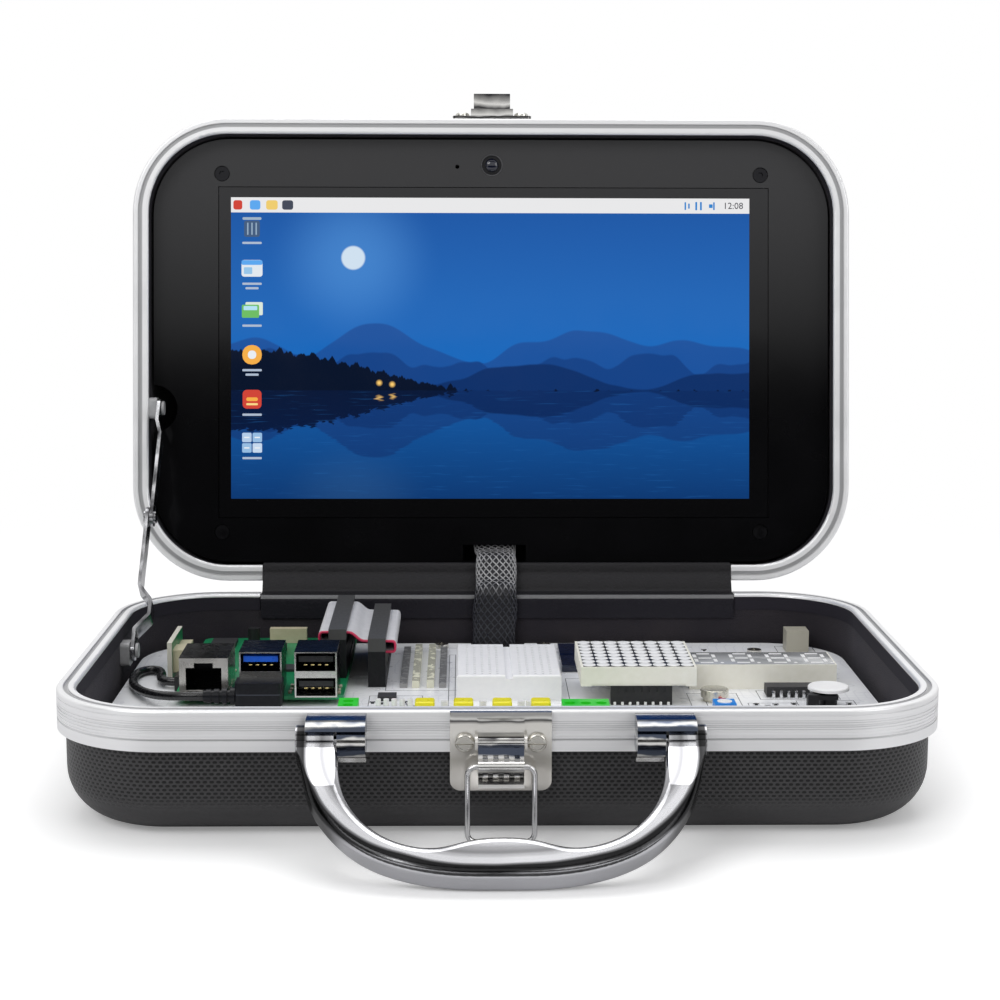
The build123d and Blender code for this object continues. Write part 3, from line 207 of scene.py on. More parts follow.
def finish_piece(piece, name, material, body, angle=35):
    """Name a piece, give it its surface and let it ride on its body, when one is given."""
    piece.name = name
    piece.data.name = name
    piece.data.materials.clear()
    piece.data.materials.append(material)
    pick(piece)
    bpy.ops.object.shade_smooth_by_angle(angle=math.radians(angle))
    if body is not None:
        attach(piece, body)
    pieces_made.append(name)
    print("made", name, len(piece.data.polygons))


print("words for modelling are ready")

# %% [markdown]
# The camera stands where the photographer's stood. Its place and angles were solved from
# known points of the object in the photograph, such as the frames' corners and the display.

# %% Camera at the photograph's place
camera_place = Vector((-11.28, -660.5, 192.2)) * mm
camera_yaw, camera_pitch, camera_roll = (math.radians(a) for a in (1.083, 8.90, 0.17))
ahead = Vector((math.sin(camera_yaw) * math.cos(camera_pitch),
                math.cos(camera_yaw) * math.cos(camera_pitch), -math.sin(camera_pitch)))
level_right = Vector((math.cos(camera_yaw), -math.sin(camera_yaw), 0))
level_up = level_right.cross(ahead)
right = level_right * math.cos(camera_roll) + level_up * math.sin(camera_roll)
up = level_up * math.cos(camera_roll) - level_right * math.sin(camera_roll)
put_down_everything()
bpy.ops.object.camera_add()
photo_camera = bpy.context.object
photo_camera.name = "photo_camera"
turned = Matrix((right, up, -ahead)).transposed().to_4x4()
photo_camera.matrix_world = Matrix.Translation(camera_place) @ turned
photo_camera.data.sensor_width = 36.0
photo_camera.data.lens = 72.626
photo_camera.data.clip_start, photo_camera.data.clip_end = 0.05, 20.0
bpy.context.scene.camera = photo_camera
print("camera at", [round(v, 4) for v in camera_place])

# %% [markdown]
# The short black lead leaves the flat plug in the lower left USB port, swings round the
# corner of the tray and goes back into a socket on the board. A cord is one smooth curve of
# a fixed length, so it is a NURBS spline whose control points are the route's own corners.

# %% Lead cord on its route
lead_route = [
    (-95.6, -19.5, 27.2), (-101.2, -19.5, 27.2), (-107.6, -16.6, 26.4), (-114.0, -9.6, 25.2),
    (-119.6, -0.6, 24.4), (-123.2, 9.4, 23.9), (-124.6, 19.0, 23.7), (-124.3, 26.4, 23.7),
    (-121.4, 31.0, 23.7), (-117.4, 30.4, 23.7), (-115.4, 25.0, 23.7), (-115.2, 17.6, 23.9),
    (-112.8, 11.0, 24.4), (-108.8, 11.0, 24.4),
]
lead_diameter = 3.0 * mm


def nurbs_curve(name, points):
    """A smooth NURBS curve with these points in mm as its control points."""
    curve = bpy.data.curves.new(name, "CURVE")
    curve.dimensions = "3D"
    spline = curve.splines.new("NURBS")
    spline.points.add(len(points) - 1)
    for control, point in zip(spline.points, points):
        control.co = (point[0] * mm, point[1] * mm, point[2] * mm, 1.0)
    spline.order_u = 3
    spline.use_endpoint_u = True
    spline.resolution_u = 10
    holder = bpy.data.objects.new(name, curve)
    bpy.context.collection.objects.link(holder)
    return holder


lead_cord = nurbs_curve("lead_cord", lead_route)
lead_cord.data.bevel_depth = lead_diameter / 2
lead_cord.data.bevel_resolution = 6
print("lead has", len(lead_route), "control points")

# %% [markdown]
# Materials are made of nodes. Adding one by hand means placing it, setting it and drawing
# its links, so a few short helpers do those three steps in one line. A Signal stands for a
# node's output, and a sum that is written with it becomes Math nodes.

# %% Node helpers
class Signal:
    """A node's output, with which sums can be written as with a number."""

    def __init__(self, socket):
        self.socket = socket

    def math(self, operation, *others):
        return calc(self.socket.id_data, operation, self, *others)

    def __radd__(self, other):
        return calc(self.socket.id_data, "ADD", other, self)

    def __rsub__(self, other):
        return calc(self.socket.id_data, "SUBTRACT", other, self)


for sign, operation in (("add", "ADD"), ("sub", "SUBTRACT"), ("mul", "MULTIPLY"),
                        ("truediv", "DIVIDE"), ("pow", "POWER"), ("abs", "ABSOLUTE"),
                        ("lt", "LESS_THAN"), ("gt", "GREATER_THAN")):
    setattr(Signal, f"__{sign}__", partialmethod(Signal.math, operation))


def fill(target, value):
    """Set a socket to a value, or link it to the node's output that the value is."""
    if isinstance(value, Signal):
        value = value.socket
    if isinstance(value, bpy.types.NodeSocket):
        target.id_data.links.new(value, target)
    else:
        target.default_value = value


def feed(node, **sockets):
    """Fill a node's sockets by name, with an underscore for a space."""
    for name, value in sockets.items():
        fill(node.inputs[name.replace("_", " ")], value)


def add_node(tree, kind, feeds=None, **settings):
    """Add a node, set it and fill its sockets."""
    node = tree.nodes.new(kind)
    for key, value in settings.items():
        setattr(node, key, value)
    for socket, value in (feeds or {}).items():
        fill(node.inputs[socket], value)
    return node


def calc(tree, operation, *values):
    """A Math node's result."""
    node = add_node(tree, "ShaderNodeMath", dict(enumerate(values)), operation=operation)
    return Signal(node.outputs[0])


def blend_colour(tree, share, first, second, how="MIX"):
    """A Mix node's colour."""
    node = add_node(tree, "ShaderNodeMix", {0: share, 6: first, 7: second},
                    data_type="RGBA", blend_type=how)
    return node.outputs[2]


def span(value, low, high, to_low=0.0, to_high=1.0, smooth=False):
    """A Map Range node's result, clamped."""
    node = add_node(value.socket.id_data, "ShaderNodeMapRange",
                    {"Value": value, "From Min": low, "From Max": high, "To Min": to_low,
                     "To Max": to_high}, interpolation_type="SMOOTHSTEP" if smooth else "LINEAR")
    return Signal(node.outputs["Result"])


def inside(value, low, high):
    """1 where a value lies between two limits."""
    return (value > low) * (value < high)


def object_place(tree):
    """Object coordinates."""
    return add_node(tree, "ShaderNodeTexCoord").outputs["Object"]


def noise(tree, place, scale, detail):
    """Noise at a place."""
    return Signal(add_node(tree, "ShaderNodeTexNoise", {"Vector": place, "Scale": scale,
                                                        "Detail": detail}).outputs[0])


def bump(tree, height, strength, distance, **under):
    """Relief from a height, over any relief under it."""
    return add_node(tree, "ShaderNodeBump", {"Height": height, "Strength": strength,
                                             "Distance": distance, **under}).outputs[0]


def colour_ramp(tree, value, stops, how="LINEAR"):
    """A Color Ramp node's colour, from stops that are a position and a colour each."""
    node = add_node(tree, "ShaderNodeValToRGB", {"Fac": value})
    node.color_ramp.interpolation = how
    elements = node.color_ramp.elements
    for number, (position, colour) in enumerate(stops):
        stop = elements[number] if number < 2 else elements.new(position)
        stop.position, stop.color = position, (*colour, 1)
    return node.outputs["Color"]


def mix_shaders(tree, share, first, second):
    """A Mix Shader node's shader."""
    return add_node(tree, "ShaderNodeMixShader", {0: share, 1: first, 2: second}).outputs[0]


def new_material(name):
    """A new material with its tree and its Principled shader."""
    material = bpy.data.materials.new(name)
    material.use_nodes = True
    return material, material.node_tree, material.node_tree.nodes["Principled BSDF"]


print("node helpers are ready")

# %% [markdown]
# The floor and the background are plain and white, as in a product photograph. The floor is
# a real surface that takes the object's soft shadow. The camera sees it lighter than the
# object does, and purely white from half a metre on, so no edge of the floor shows. Dark
# cards stand out of view, as in a photographer's studio, so that bright metal has something
# dark to mirror.

# %% World, floor and lamps
white = (1, 1, 1, 1)
scene = bpy.context.scene
scene.view_settings.view_transform = "Standard"
world = bpy.data.worlds.new("studio_world")
scene.world = world
world.use_nodes = True
sky = world.node_tree
seen_sky = sky.nodes["Background"]
feed(seen_sky, Color=white, Strength=1.0)
room_light, mirrored_room = (
    add_node(sky, "ShaderNodeBackground", {"Color": white, "Strength": strength}).outputs[0]
    for strength in (0.50, 0.80))
sky_path = add_node(sky, "ShaderNodeLightPath").outputs
unseen_sky = mix_shaders(sky, sky_path["Is Glossy Ray"], room_light, mirrored_room)
feed(sky.nodes["World Output"],
     Surface=mix_shaders(sky, sky_path["Is Camera Ray"], unseen_sky, seen_sky.outputs[0]))

floor_paint, paint_tree, unused_shader = new_material("floor_paint")
paint_tree.nodes.remove(unused_shader)
dull, bright = (add_node(paint_tree, "ShaderNodeBsdfDiffuse", {"Color": colour}).outputs[0]
                for colour in ((0.72, 0.72, 0.73, 1), (0.97, 0.97, 0.975, 1)))
glow, white_floor = (
    add_node(paint_tree, "ShaderNodeEmission", {"Color": white, "Strength": strength}).outputs[0]
    for strength in (0.22, 1.0))
bright_floor = add_node(paint_tree, "ShaderNodeAddShader", {0: bright, 1: glow}).outputs[0]
floor_far = add_node(paint_tree, "ShaderNodeVectorMath", {0: object_place(paint_tree)},
                     operation="LENGTH")
whiteness = span(Signal(floor_far.outputs["Value"]), 0.22, 0.55, smooth=True)
camera_floor = mix_shaders(paint_tree, whiteness, bright_floor, white_floor)
floor_path = add_node(paint_tree, "ShaderNodeLightPath").outputs
feed(paint_tree.nodes["Material Output"],
     Surface=mix_shaders(paint_tree, floor_path["Is Camera Ray"], dull, camera_floor))

put_down_everything()
bpy.ops.mesh.primitive_plane_add(size=16, location=(0, 2, -0.0002))
floor = settle(bpy.context.object)
floor.name = "studio_floor"
floor.data.materials.append(floor_paint)


def soft_lamp(name, place, aim, width, height, power):
    """A large soft lamp that looks at a point."""
    put_down_everything()
    bpy.ops.object.light_add(type="AREA", location=place)
    lamp = bpy.context.object
    lamp.name = name
    lamp.data.shape = "RECTANGLE"
    lamp.data.size, lamp.data.size_y = width, height
    lamp.data.energy = power
    lamp.rotation_euler = (Vector(aim) - Vector(place)).to_track_quat("-Z", "Y").to_euler()
    return lamp


soft_lamp("key_lamp", (-1.1, -1.5, 1.6), (0, 0, 0.1), 1.2, 1.0, 14)
soft_lamp("fill_lamp", (1.4, -1.2, 0.9), (0, 0, 0.1), 1.0, 1.0, 5)
soft_lamp("top_lamp", (0.0, 0.5, 1.9), (0, 0, 0.05), 1.6, 1.2, 15)


def dark_card(name, place, aim, width, height, shade):
    """A black card that only mirrors see, which gives bright metal its dark streaks."""
    paper, _, paper_shader = new_material(name)
    feed(paper_shader, Base_Color=(shade, shade, shade, 1), Roughness=0.9)
    put_down_everything()
    bpy.ops.mesh.primitive_plane_add(size=1)
    card = bpy.context.object
    card.name = name
    card.scale = (width, height, 1)
    card.location = place
    card.rotation_euler = (Vector(aim) - Vector(place)).to_track_quat("Z", "Y").to_euler()
    settle(card)
    card.data.materials.append(paper)
    for ray in ("visible_camera", "visible_diffuse", "visible_transmission", "visible_shadow"):
        setattr(card, ray, False)
    return card


dark_card("front_card", (0.0, -1.3, 0.24), (0, 0, 0.10), 2.4, 0.42, 0.012)
dark_card("raised_card", (0.0, -1.0, 1.45), (0, 0, 0.10), 2.4, 0.30, 0.02)
dark_card("left_card", (-1.0, -0.3, 0.30), (0, 0, 0.10), 0.4, 0.9, 0.02)
dark_card("right_card", (1.1, -0.2, 0.30), (0, 0, 0.10), 0.4, 0.9, 0.02)
dark_card("low_card", (0.0, -0.165, 0.0006), (0, -0.165, 0.5), 0.30, 0.055, 0.02)
print("stage is set")

# %% [markdown]
# Several finishes share an effect. Grain varies a colour and a roughness with noise that can
# be stretched into brushing or streaks. It is one node group, so a change reaches them all.

# %% Shared effect: grain
def new_effect(name, inputs, outputs):
    """A shader node group with named sockets, and its input and output nodes."""
    group = bpy.data.node_groups.new(name, "ShaderNodeTree")
    for label, kind in inputs:
        group.interface.new_socket(label, in_out="INPUT", socket_type="NodeSocket" + kind)
    for label, kind in outputs:
        group.interface.new_socket(label, in_out="OUTPUT", socket_type="NodeSocket" + kind)
    return group, group.nodes.new("NodeGroupInput"), group.nodes.new("NodeGroupOutput")


grain, grain_in, grain_out = new_effect(
    "grain",
    [("Colour", "Color"), ("Second Colour", "Color"), ("Scale", "Float"), ("Stretch", "Vector"),
     ("Detail", "Float"), ("Roughness", "Float"), ("Roughness Spread", "Float")],
    [("Colour", "Color"), ("Roughness", "Float"), ("Height", "Float")])
grain_from = grain_in.outputs
grain_place = add_node(grain, "ShaderNodeMapping",
                       {"Vector": object_place(grain), "Scale": grain_from["Stretch"]}).outputs[0]
grain_share = span(noise(grain, grain_place, grain_from["Scale"], grain_from["Detail"]), 0.3, 0.7)
grain_swing = (grain_share - 0.5) * grain_from["Roughness Spread"]
feed(grain_out, Height=grain_share, Roughness=Signal(grain_from["Roughness"]) + grain_swing,
     Colour=blend_colour(grain, grain_share, grain_from["Colour"], grain_from["Second Colour"]))
print("effect", grain.name)

# %% [markdown]
# Nearly every finish here is one Principled shader with grain in its colour, its roughness
# and, where it shows, its relief. One function makes such a material from a few numbers, and
# another colours parts of it by their place on the object.

# %% Surfaces from the grain effect
def surface(name, colour, second, roughness, spread=0.1, scale=400.0, stretch=(1, 1, 1),
            detail=3.0, relief=0.0, depth=0.00005, **sockets):
    """A material whose colour, roughness and relief vary with the grain effect."""
    material, tree, shader = new_material(name)
    effect = add_node(tree, "ShaderNodeGroup", node_tree=grain, name="grain_effect")
    feed(effect, Colour=(*colour, 1), Second_Colour=(*second, 1), Scale=scale, Stretch=stretch,
         Detail=detail, Roughness=roughness, Roughness_Spread=spread)
    feed(shader, Base_Color=effect.outputs["Colour"], Roughness=effect.outputs["Roughness"],
         **sockets)
    if relief:
        feed(shader, Normal=bump(tree, effect.outputs["Height"], relief, depth))
    return material


def parts_of(material):
    """A material's tree, its shader and its grain effect."""
    tree = material.node_tree
    return tree, tree.nodes["Principled BSDF"], tree.nodes["grain_effect"]


def cover(material, share, colour):
    """Lay another colour over a material's own, by a share."""
    tree, shader, _ = parts_of(material)
    under = shader.inputs["Base Color"].links[0].from_socket
    feed(shader, Base_Color=blend_colour(tree, share, under, (*colour, 1)))


def dress(material, *names):
    """Give CAD nodes a material, on every slot they have."""
    for name in names:
        part = nodes[name]
        if not part.material_slots:
            part.data.materials.append(material)
        for slot in part.material_slots:
            slot.material = material


def axes_in_mm(tree, place):
    """A place's three values, in mm."""
    scaled = add_node(tree, "ShaderNodeVectorMath", {0: place, "Scale": 1000.0}, operation="SCALE")
    split = add_node(tree, "ShaderNodeSeparateXYZ", {0: scaled.outputs[0]})
    return [Signal(output) for output in split.outputs]


def object_axes(tree):
    """Object coordinates in mm."""
    return axes_in_mm(tree, object_place(tree))


def tint_where(material, rules):
    """Colour boxes of a material, each given by its limits in x, y and z and its colour."""
    axes = object_axes(material.node_tree)
    for *limits, tint in rules:
        share = None
        for axis, low, high in zip(axes, limits[0::2], limits[1::2]):
            if low is not None:
                here = inside(axis, low, high)
                share = here if share is None else share * here
        cover(material, share, tint)
    return material


anywhere = (None, None)
print("surfaces can be made")

# %% [markdown]
# The shells are moulded black with rows of small staggered dimples that fade out toward the
# far face. Thousands of cut dimples would be far too heavy, so a distance round the outline
# and a height are worked out in the shader, and two cosine waves raise the pattern as relief.
# The cups are also painted darker in colour, as painted shade in the hollows.

# %% Shared effect: dimples round the case
outline_half_x, outline_half_y, outline_radius = 100.0, 51.7, 33.4
dimple_pitch, dimple_row = 2.0, 2.4
plain_below, dimpled_above = 8.5, 14.0
dimples, dimples_in, dimples_out = new_effect(
    "dimples", [("Across", "Float"), ("Along", "Float"), ("Rise", "Float")], [("Height", "Float")])
across, along, rise = (Signal(dimples_in.outputs[name]) for name in ("Across", "Along", "Rise"))
side_x, side_y = abs(across), abs(along)
past_x = (side_x - outline_half_x).math("MAXIMUM", 0.0)
past_y = (side_y - outline_half_y).math("MAXIMUM", 0.0)
turned_by = past_x.math("ARCTAN2", past_y)
run_x = side_x.math("MINIMUM", outline_half_x)
run_y = outline_half_y - side_y.math("MINIMUM", outline_half_y)
round_it = turned_by * outline_radius + (run_x + run_y)
wave_round = (round_it * (2 * math.pi / dimple_pitch)).math("COSINE")
wave_rise = (rise * (2 * math.pi / dimple_row)).math("COSINE")
staggered = wave_round * wave_rise.math("SIGN")
dimple_wave = span(staggered, -1.0, 1.0) * abs(wave_rise) ** 2.0
dimple_cup = span(dimple_wave, 0.10, 0.38, smooth=True)
dimple_fade = span(rise, plain_below, dimpled_above, smooth=True)
feed(dimples_out, Height=1.0 - dimple_cup * dimple_fade)

lid_middle = Vector((0, 104.607, 130.128))
lid_up = Vector((0, 0.15006, 0.98868))
lid_out = Vector((0, -0.98868, 0.15006))
lid_turn = math.atan2(lid_up.z, lid_up.y)
lid_matrix = (Matrix.Translation(lid_middle * mm)
              @ Matrix(((1, 0, 0), (0, lid_up.y, lid_out.y), (0, lid_up.z, lid_out.z))).to_4x4())
case_half_height = 40.2


def lid_axes(tree):
    """Across, up and out from the lid's rim, in mm: a Mapping node undoes the lid's lean."""
    undone = add_node(tree, "ShaderNodeMapping",
                      {"Vector": object_place(tree), "Location": lid_middle * mm,
                       "Rotation": (lid_turn, 0, 0)}, vector_type="TEXTURE")
    return axes_in_mm(tree, undone.outputs[0])


def onto_lid(piece, x=0.0, y=0.0, z=0.0):
    """Move a shape to a point in the lid's own mm, and lean it as the lid leans."""
    piece.data.transform(Matrix.Translation(Vector((x, y, z)) * mm))
    piece.data.transform(lid_matrix)


def shell_surface(name, axes_of, rise_from_rim):
    """Black moulding with the dimples, their cups painted darker as painted shade, a fine grain and
    faint scuffs.
    """
    material = surface(name, (0.042, 0.041, 0.043), (0.056, 0.055, 0.057), 0.42, 0.12,
                       scale=900, detail=4)
    tree, shader, effect = parts_of(material)
    across, along, rise = axes_of(tree)
    if rise_from_rim:
        rise = rise + case_half_height
    pattern = add_node(tree, "ShaderNodeGroup", node_tree=dimples)
    feed(pattern, Across=across, Along=along, Rise=rise)
    fine = bump(tree, effect.outputs["Height"], 0.25, 0.0001)
    # Painted shade: the dimples' cups are darker in colour.
    cup_painted_shade = (0.0025, 0.0025, 0.003, 1)
    feed(shader, Normal=bump(tree, pattern.outputs[0], 1.0, 0.0006, Normal=fine),
         Base_Color=blend_colour(tree, pattern.outputs[0], cup_painted_shade, effect.outputs["Colour"]))
    return material


dress(shell_surface("base_shell_black", object_axes, False), "base_shell")
dress(shell_surface("lid_shell_black", lid_axes, True), "lid_shell")
print("dimples on base_shell lid_shell")

# %% [markdown]
# The frames are satin aluminium strip, drawn lengthwise, so their brushing runs round the
# case. A noise stretched along the strip gives streaks. Fine lines and one strong line near
# the lower third are grooves painted darker, and so is the groove on the rim, as painted shade
# in the grooves, so the colour also follows the height on the strip. Inside the rim the strip
# is clad with dark cloth.

# %% Aluminium frames
strong_line, fine_lines, rolled_groove_at, cloth_within = 8.8, (2.9, 6.3), 33.2, 31.9


def frame_surface(name, axes_of, mirrored):
    """Satin strip with lengthwise streaks, lines and a groove painted darker as painted shade, and
    cloth inside.
    """
    stretch = (0.05, 12.0, 0.05) if mirrored else (0.05, 0.05, 12.0)
    material = surface(name, (0.90, 0.90, 0.91), (0.95, 0.95, 0.96), 0.38, 0.08, scale=60,
                       stretch=stretch, Metallic=0.45)
    tree, shader, effect = parts_of(material)
    across, along, rise = axes_of(tree)
    below = rise * -1.0 if mirrored else case_half_height - rise
    line = span(abs(below - strong_line), 0.15, 0.45, 0.75, 0.0, smooth=True)
    fine = span(below.math("PINGPONG", 0.33), 0.06, 0.18, 0.42, 0.0) * inside(below, *fine_lines)
    straight = span(abs(across), 104.0, 124.0, 1.0, 0.0).math(
        "MAXIMUM", span(abs(along), 58.0, 76.0, 1.0, 0.0))
    lines = (line * span(straight, 0.0, 1.0, 0.3, 1.0)).math("MAXIMUM", fine * straight)
    # Painted shade in the grooves: the lines are darker in colour.
    cover(material, lines, (0.36, 0.36, 0.37))
    corner_x = (abs(across) - outline_half_x).math("MAXIMUM", 0.0)
    corner_y = (abs(along) - outline_half_y).math("MAXIMUM", 0.0)
    reach = (corner_x * corner_x + corner_y * corner_y).math("SQRT")
    groove = (below < 0.8) * span(abs(reach - rolled_groove_at), 0.45, 1.05, 0.85, 0.0)
    # Painted shade in the rim's groove.
    cover(material, groove, (0.34, 0.34, 0.35))
    clad = (reach < cloth_within) * (below > 1.1)
    cover(material, clad, (0.012, 0.010, 0.017))
    feed(shader, Normal=bump(tree, 1.0 - lines, 0.4, 0.0001),
         Metallic=span(clad, 0.0, 1.0, 0.45, 0.0),
         Roughness=blend_colour(tree, clad, effect.outputs["Roughness"], (0.95, 0.95, 0.95, 1)))
    return material


dress(frame_surface("base_aluminium", object_axes, False), "base_frame")
dress(frame_surface("lid_aluminium", lid_axes, True), "lid_frame")
print("frames dressed")

# %% [markdown]
# The bright metal is nickel or chrome plate on pressed steel and zinc. Plate is a mirror with
# faint waves, so it is metallic, almost smooth, with a very low large-scale relief. The dark
# and light streaks it mirrors on the handle, brackets, latch and keeper are painted into its
# colour by place, as painted reflections.

# %% Plated metals, steel, brass
handle_chrome = surface("handle_chrome", (0.70, 0.70, 0.72), (0.78, 0.78, 0.80), 0.19, 0.06,
                        scale=30, detail=2, relief=0.15, depth=0.0006, Metallic=1.0)
handle_pivot_y, handle_pivot_z, handle_lean = -93.6, 32.9, math.radians(51.3)
arch_half_width, arch_height, arch_squareness = 59.5, 48.0, 2.4
tree, shader, effect = parts_of(handle_chrome)
across, along, rise = object_axes(tree)
arch_x = (abs(across) / arch_half_width) ** arch_squareness
drop_y = (along + -handle_pivot_y) * -math.sin(handle_lean)
drop_z = (rise + -handle_pivot_z) * -math.cos(handle_lean)
arch_y = ((drop_y + drop_z).math("MAXIMUM", 0.0) / arch_height) ** arch_squareness
arch = (arch_x + arch_y) ** (1 / arch_squareness)
arch = arch + (Signal(effect.outputs["Height"]) - 0.5) * 0.022
# Painted reflections: light and dark streaks across the arch, multiplied into the chrome's colour.
stops = ((0.62, 0.40), (0.70, 0.95), (0.80, 0.90), (0.835, 0.55), (0.862, 0.38), (0.885, 0.70),
         (0.905, 1.0), (0.930, 1.0), (0.943, 0.25), (0.952, 0.03), (0.984, 0.05), (1.0, 1.0))
streaks = colour_ramp(tree, arch, [(place, (tone, tone, tone * 1.01)) for place, tone in stops],
                      "EASE")
feed(shader, Base_Color=blend_colour(tree, 1.0, effect.outputs["Colour"], streaks, "MULTIPLY"))


def banded_metal(name, bands, axes_of=object_axes, which=2, wave=1.6, metallic=1.0):
    """Bright plate with painted reflections: dark and light bands along one axis, painted into its
    colour as bent plate would mirror a room.
    """
    material = surface(name, (0.80, 0.79, 0.76), (0.88, 0.87, 0.85), 0.16, 0.08, scale=120,
                       detail=2, relief=0.15, depth=0.0002, Metallic=metallic)
    tree, shader, effect = parts_of(material)
    value = axes_of(tree)[which]
    low, high = bands[0][0], bands[-1][0]
    sway = (Signal(effect.outputs["Height"]) - 0.5) * wave
    painted_reflection_tones = colour_ramp(tree, span(value + sway, low, high),
                        [((place - low) / (high - low), tone) for place, tone in bands])
    feed(shader, Base_Color=blend_colour(tree, 1.0, effect.outputs["Colour"], painted_reflection_tones, "MULTIPLY"))
    return material


# Colours of the painted reflections in the plated parts' bands.
reflected_white, reflected_grey = (1, 1, 1), (0.45, 0.45, 0.45)
reflected_navy, reflected_black = (0.10, 0.12, 0.17), (0.03, 0.03, 0.035)
bracket_nickel = banded_metal("bracket_nickel", [
    (26.0, reflected_white), (29.3, reflected_white), (29.8, reflected_navy), (32.4, reflected_navy),
    (33.0, reflected_white), (34.4, reflected_white), (35.0, reflected_navy), (37.8, reflected_navy),
    (38.5, reflected_grey), (39.5, reflected_navy)])
keeper_nickel = banded_metal("keeper_nickel", [
    (87.0, reflected_grey), (88.6, reflected_black), (89.6, reflected_white), (91.2, reflected_grey), (92.4, reflected_black),
    (94.0, reflected_white), (95.6, reflected_grey), (98.0, reflected_black)], lid_axes, 1)
plate_nickel = banded_metal("plate_nickel", [
    (16.0, (0.85, 0.83, 0.80)), (26.0, (0.70, 0.68, 0.64)), (33.0, (0.95, 0.94, 0.92)),
    (36.4, (0.90, 0.89, 0.87)), (37.4, reflected_black), (38.0, reflected_white), (39.2, reflected_grey),
    (40.2, reflected_grey)], wave=0.6, metallic=0.55)
lever_nickel = banded_metal("lever_nickel", [
    (19.0, reflected_white), (22.5, reflected_white), (23.2, reflected_black), (24.6, reflected_grey),
    (25.4, reflected_white), (27.8, reflected_white), (28.6, reflected_navy), (31.4, reflected_navy),
    (32.2, reflected_white), (33.4, reflected_black)], wave=1.0)
wire_steel = surface("wire_steel", (0.62, 0.62, 0.63), (0.78, 0.78, 0.78), 0.18, 0.1,
                     scale=200, detail=2, Metallic=1.0)
link_steel = surface("link_steel", (0.05, 0.05, 0.055), (0.62, 0.62, 0.64), 0.20, 0.12, scale=260,
                     stretch=(1, 0.5, 0.5), detail=3, relief=0.2, depth=0.0001, Metallic=1.0)
screw_nickel = surface("screw_nickel", (0.62, 0.60, 0.55), (0.76, 0.74, 0.68), 0.22, 0.12,
                       scale=300, Metallic=1.0)
post_brass = surface("post_brass", (0.60, 0.44, 0.16), (0.70, 0.54, 0.22), 0.28, 0.1, scale=300,
                     Metallic=1.0)
dress(handle_chrome, "handle")
dress(bracket_nickel, "handle_brackets")
dress(plate_nickel, "latch_plate")
dress(keeper_nickel, "lid_keeper")
dress(lever_nickel, "latch_lever")
dress(wire_steel, "latch_bail", "pivot_pins", "hinge_pin")
dress(link_steel, "stay_lower_link", "stay_upper_link")
dress(screw_nickel, "front_screws", "board_screws")
dress(post_brass, "standoffs")
print("metals dressed")

# %% [markdown]
# The lid's screws share one node. The four in the panel are blackened and the two in the
# keeper are nickel, so the colour changes where the panel ends.

# %% Screws of the lid
keeper_from = 80.0
lid_screw_metal = surface("lid_screw_metal", (0.70, 0.69, 0.64), (0.80, 0.79, 0.74), 0.22, 0.1,
                          scale=300, Metallic=1.0)
tree, shader, effect = parts_of(lid_screw_metal)
at_keeper = span(lid_axes(tree)[1], keeper_from, keeper_from + 4.0)
feed(shader, Base_Color=blend_colour(tree, at_keeper, (0.028, 0.028, 0.031, 1),
                                     effect.outputs["Colour"]))
dress(lid_screw_metal, "lid_screws")
print("lid screws dressed")

# %% [markdown]
# Inside, both halves are lined with dark flocked cloth. Flock is short upright fibre: it has
# a soft sheen at its edges, tiny specks, and a slow change of tone where the pile lies over.

# %% Flocked lining
flock = surface("flock", (0.008, 0.0065, 0.011), (0.017, 0.014, 0.021), 0.94, 0.06, scale=2600,
                detail=2, relief=0.5, depth=0.0003, Sheen_Weight=0.08, Sheen_Roughness=0.5)
tree, shader, _ = parts_of(flock)
feed(shader, Sheen_Tint=(0.75, 0.72, 0.80, 1))
drift = span(noise(tree, object_place(tree), 35.0, 3.0), 0.35, 0.7)
cover(flock, drift, (0.022, 0.018, 0.022))
dress(flock, "base_lining", "lid_lining")
print("lining dressed")

# %% [markdown]
# The panel round the display is dark gloss sheet. The real one mirrors the dark room above
# and the board below only faintly, so its own reflection is kept low, and a painted
# reflection lifts its colour slightly toward the top.

# %% Dark gloss panel
lift_low, lift_high = -30.0, 82.0
panel_gloss = surface("panel_gloss", (0.0030, 0.0030, 0.0034), (0.0042, 0.0042, 0.0048),
                      0.10, 0.04, scale=40, detail=2, Specular_IOR_Level=0.16)
# Painted reflection: the panel's colour lifts toward its top.
lift = span(lid_axes(panel_gloss.node_tree)[1], lift_low, lift_high, smooth=True)
cover(panel_gloss, lift, (0.052, 0.052, 0.054))
dress(panel_gloss, "lid_panel")
print("panel dressed")

# %% [markdown]
# Small plastic parts are moulded. They differ in colour and gloss, and share a fine grain
# that keeps them from looking like plain paint.

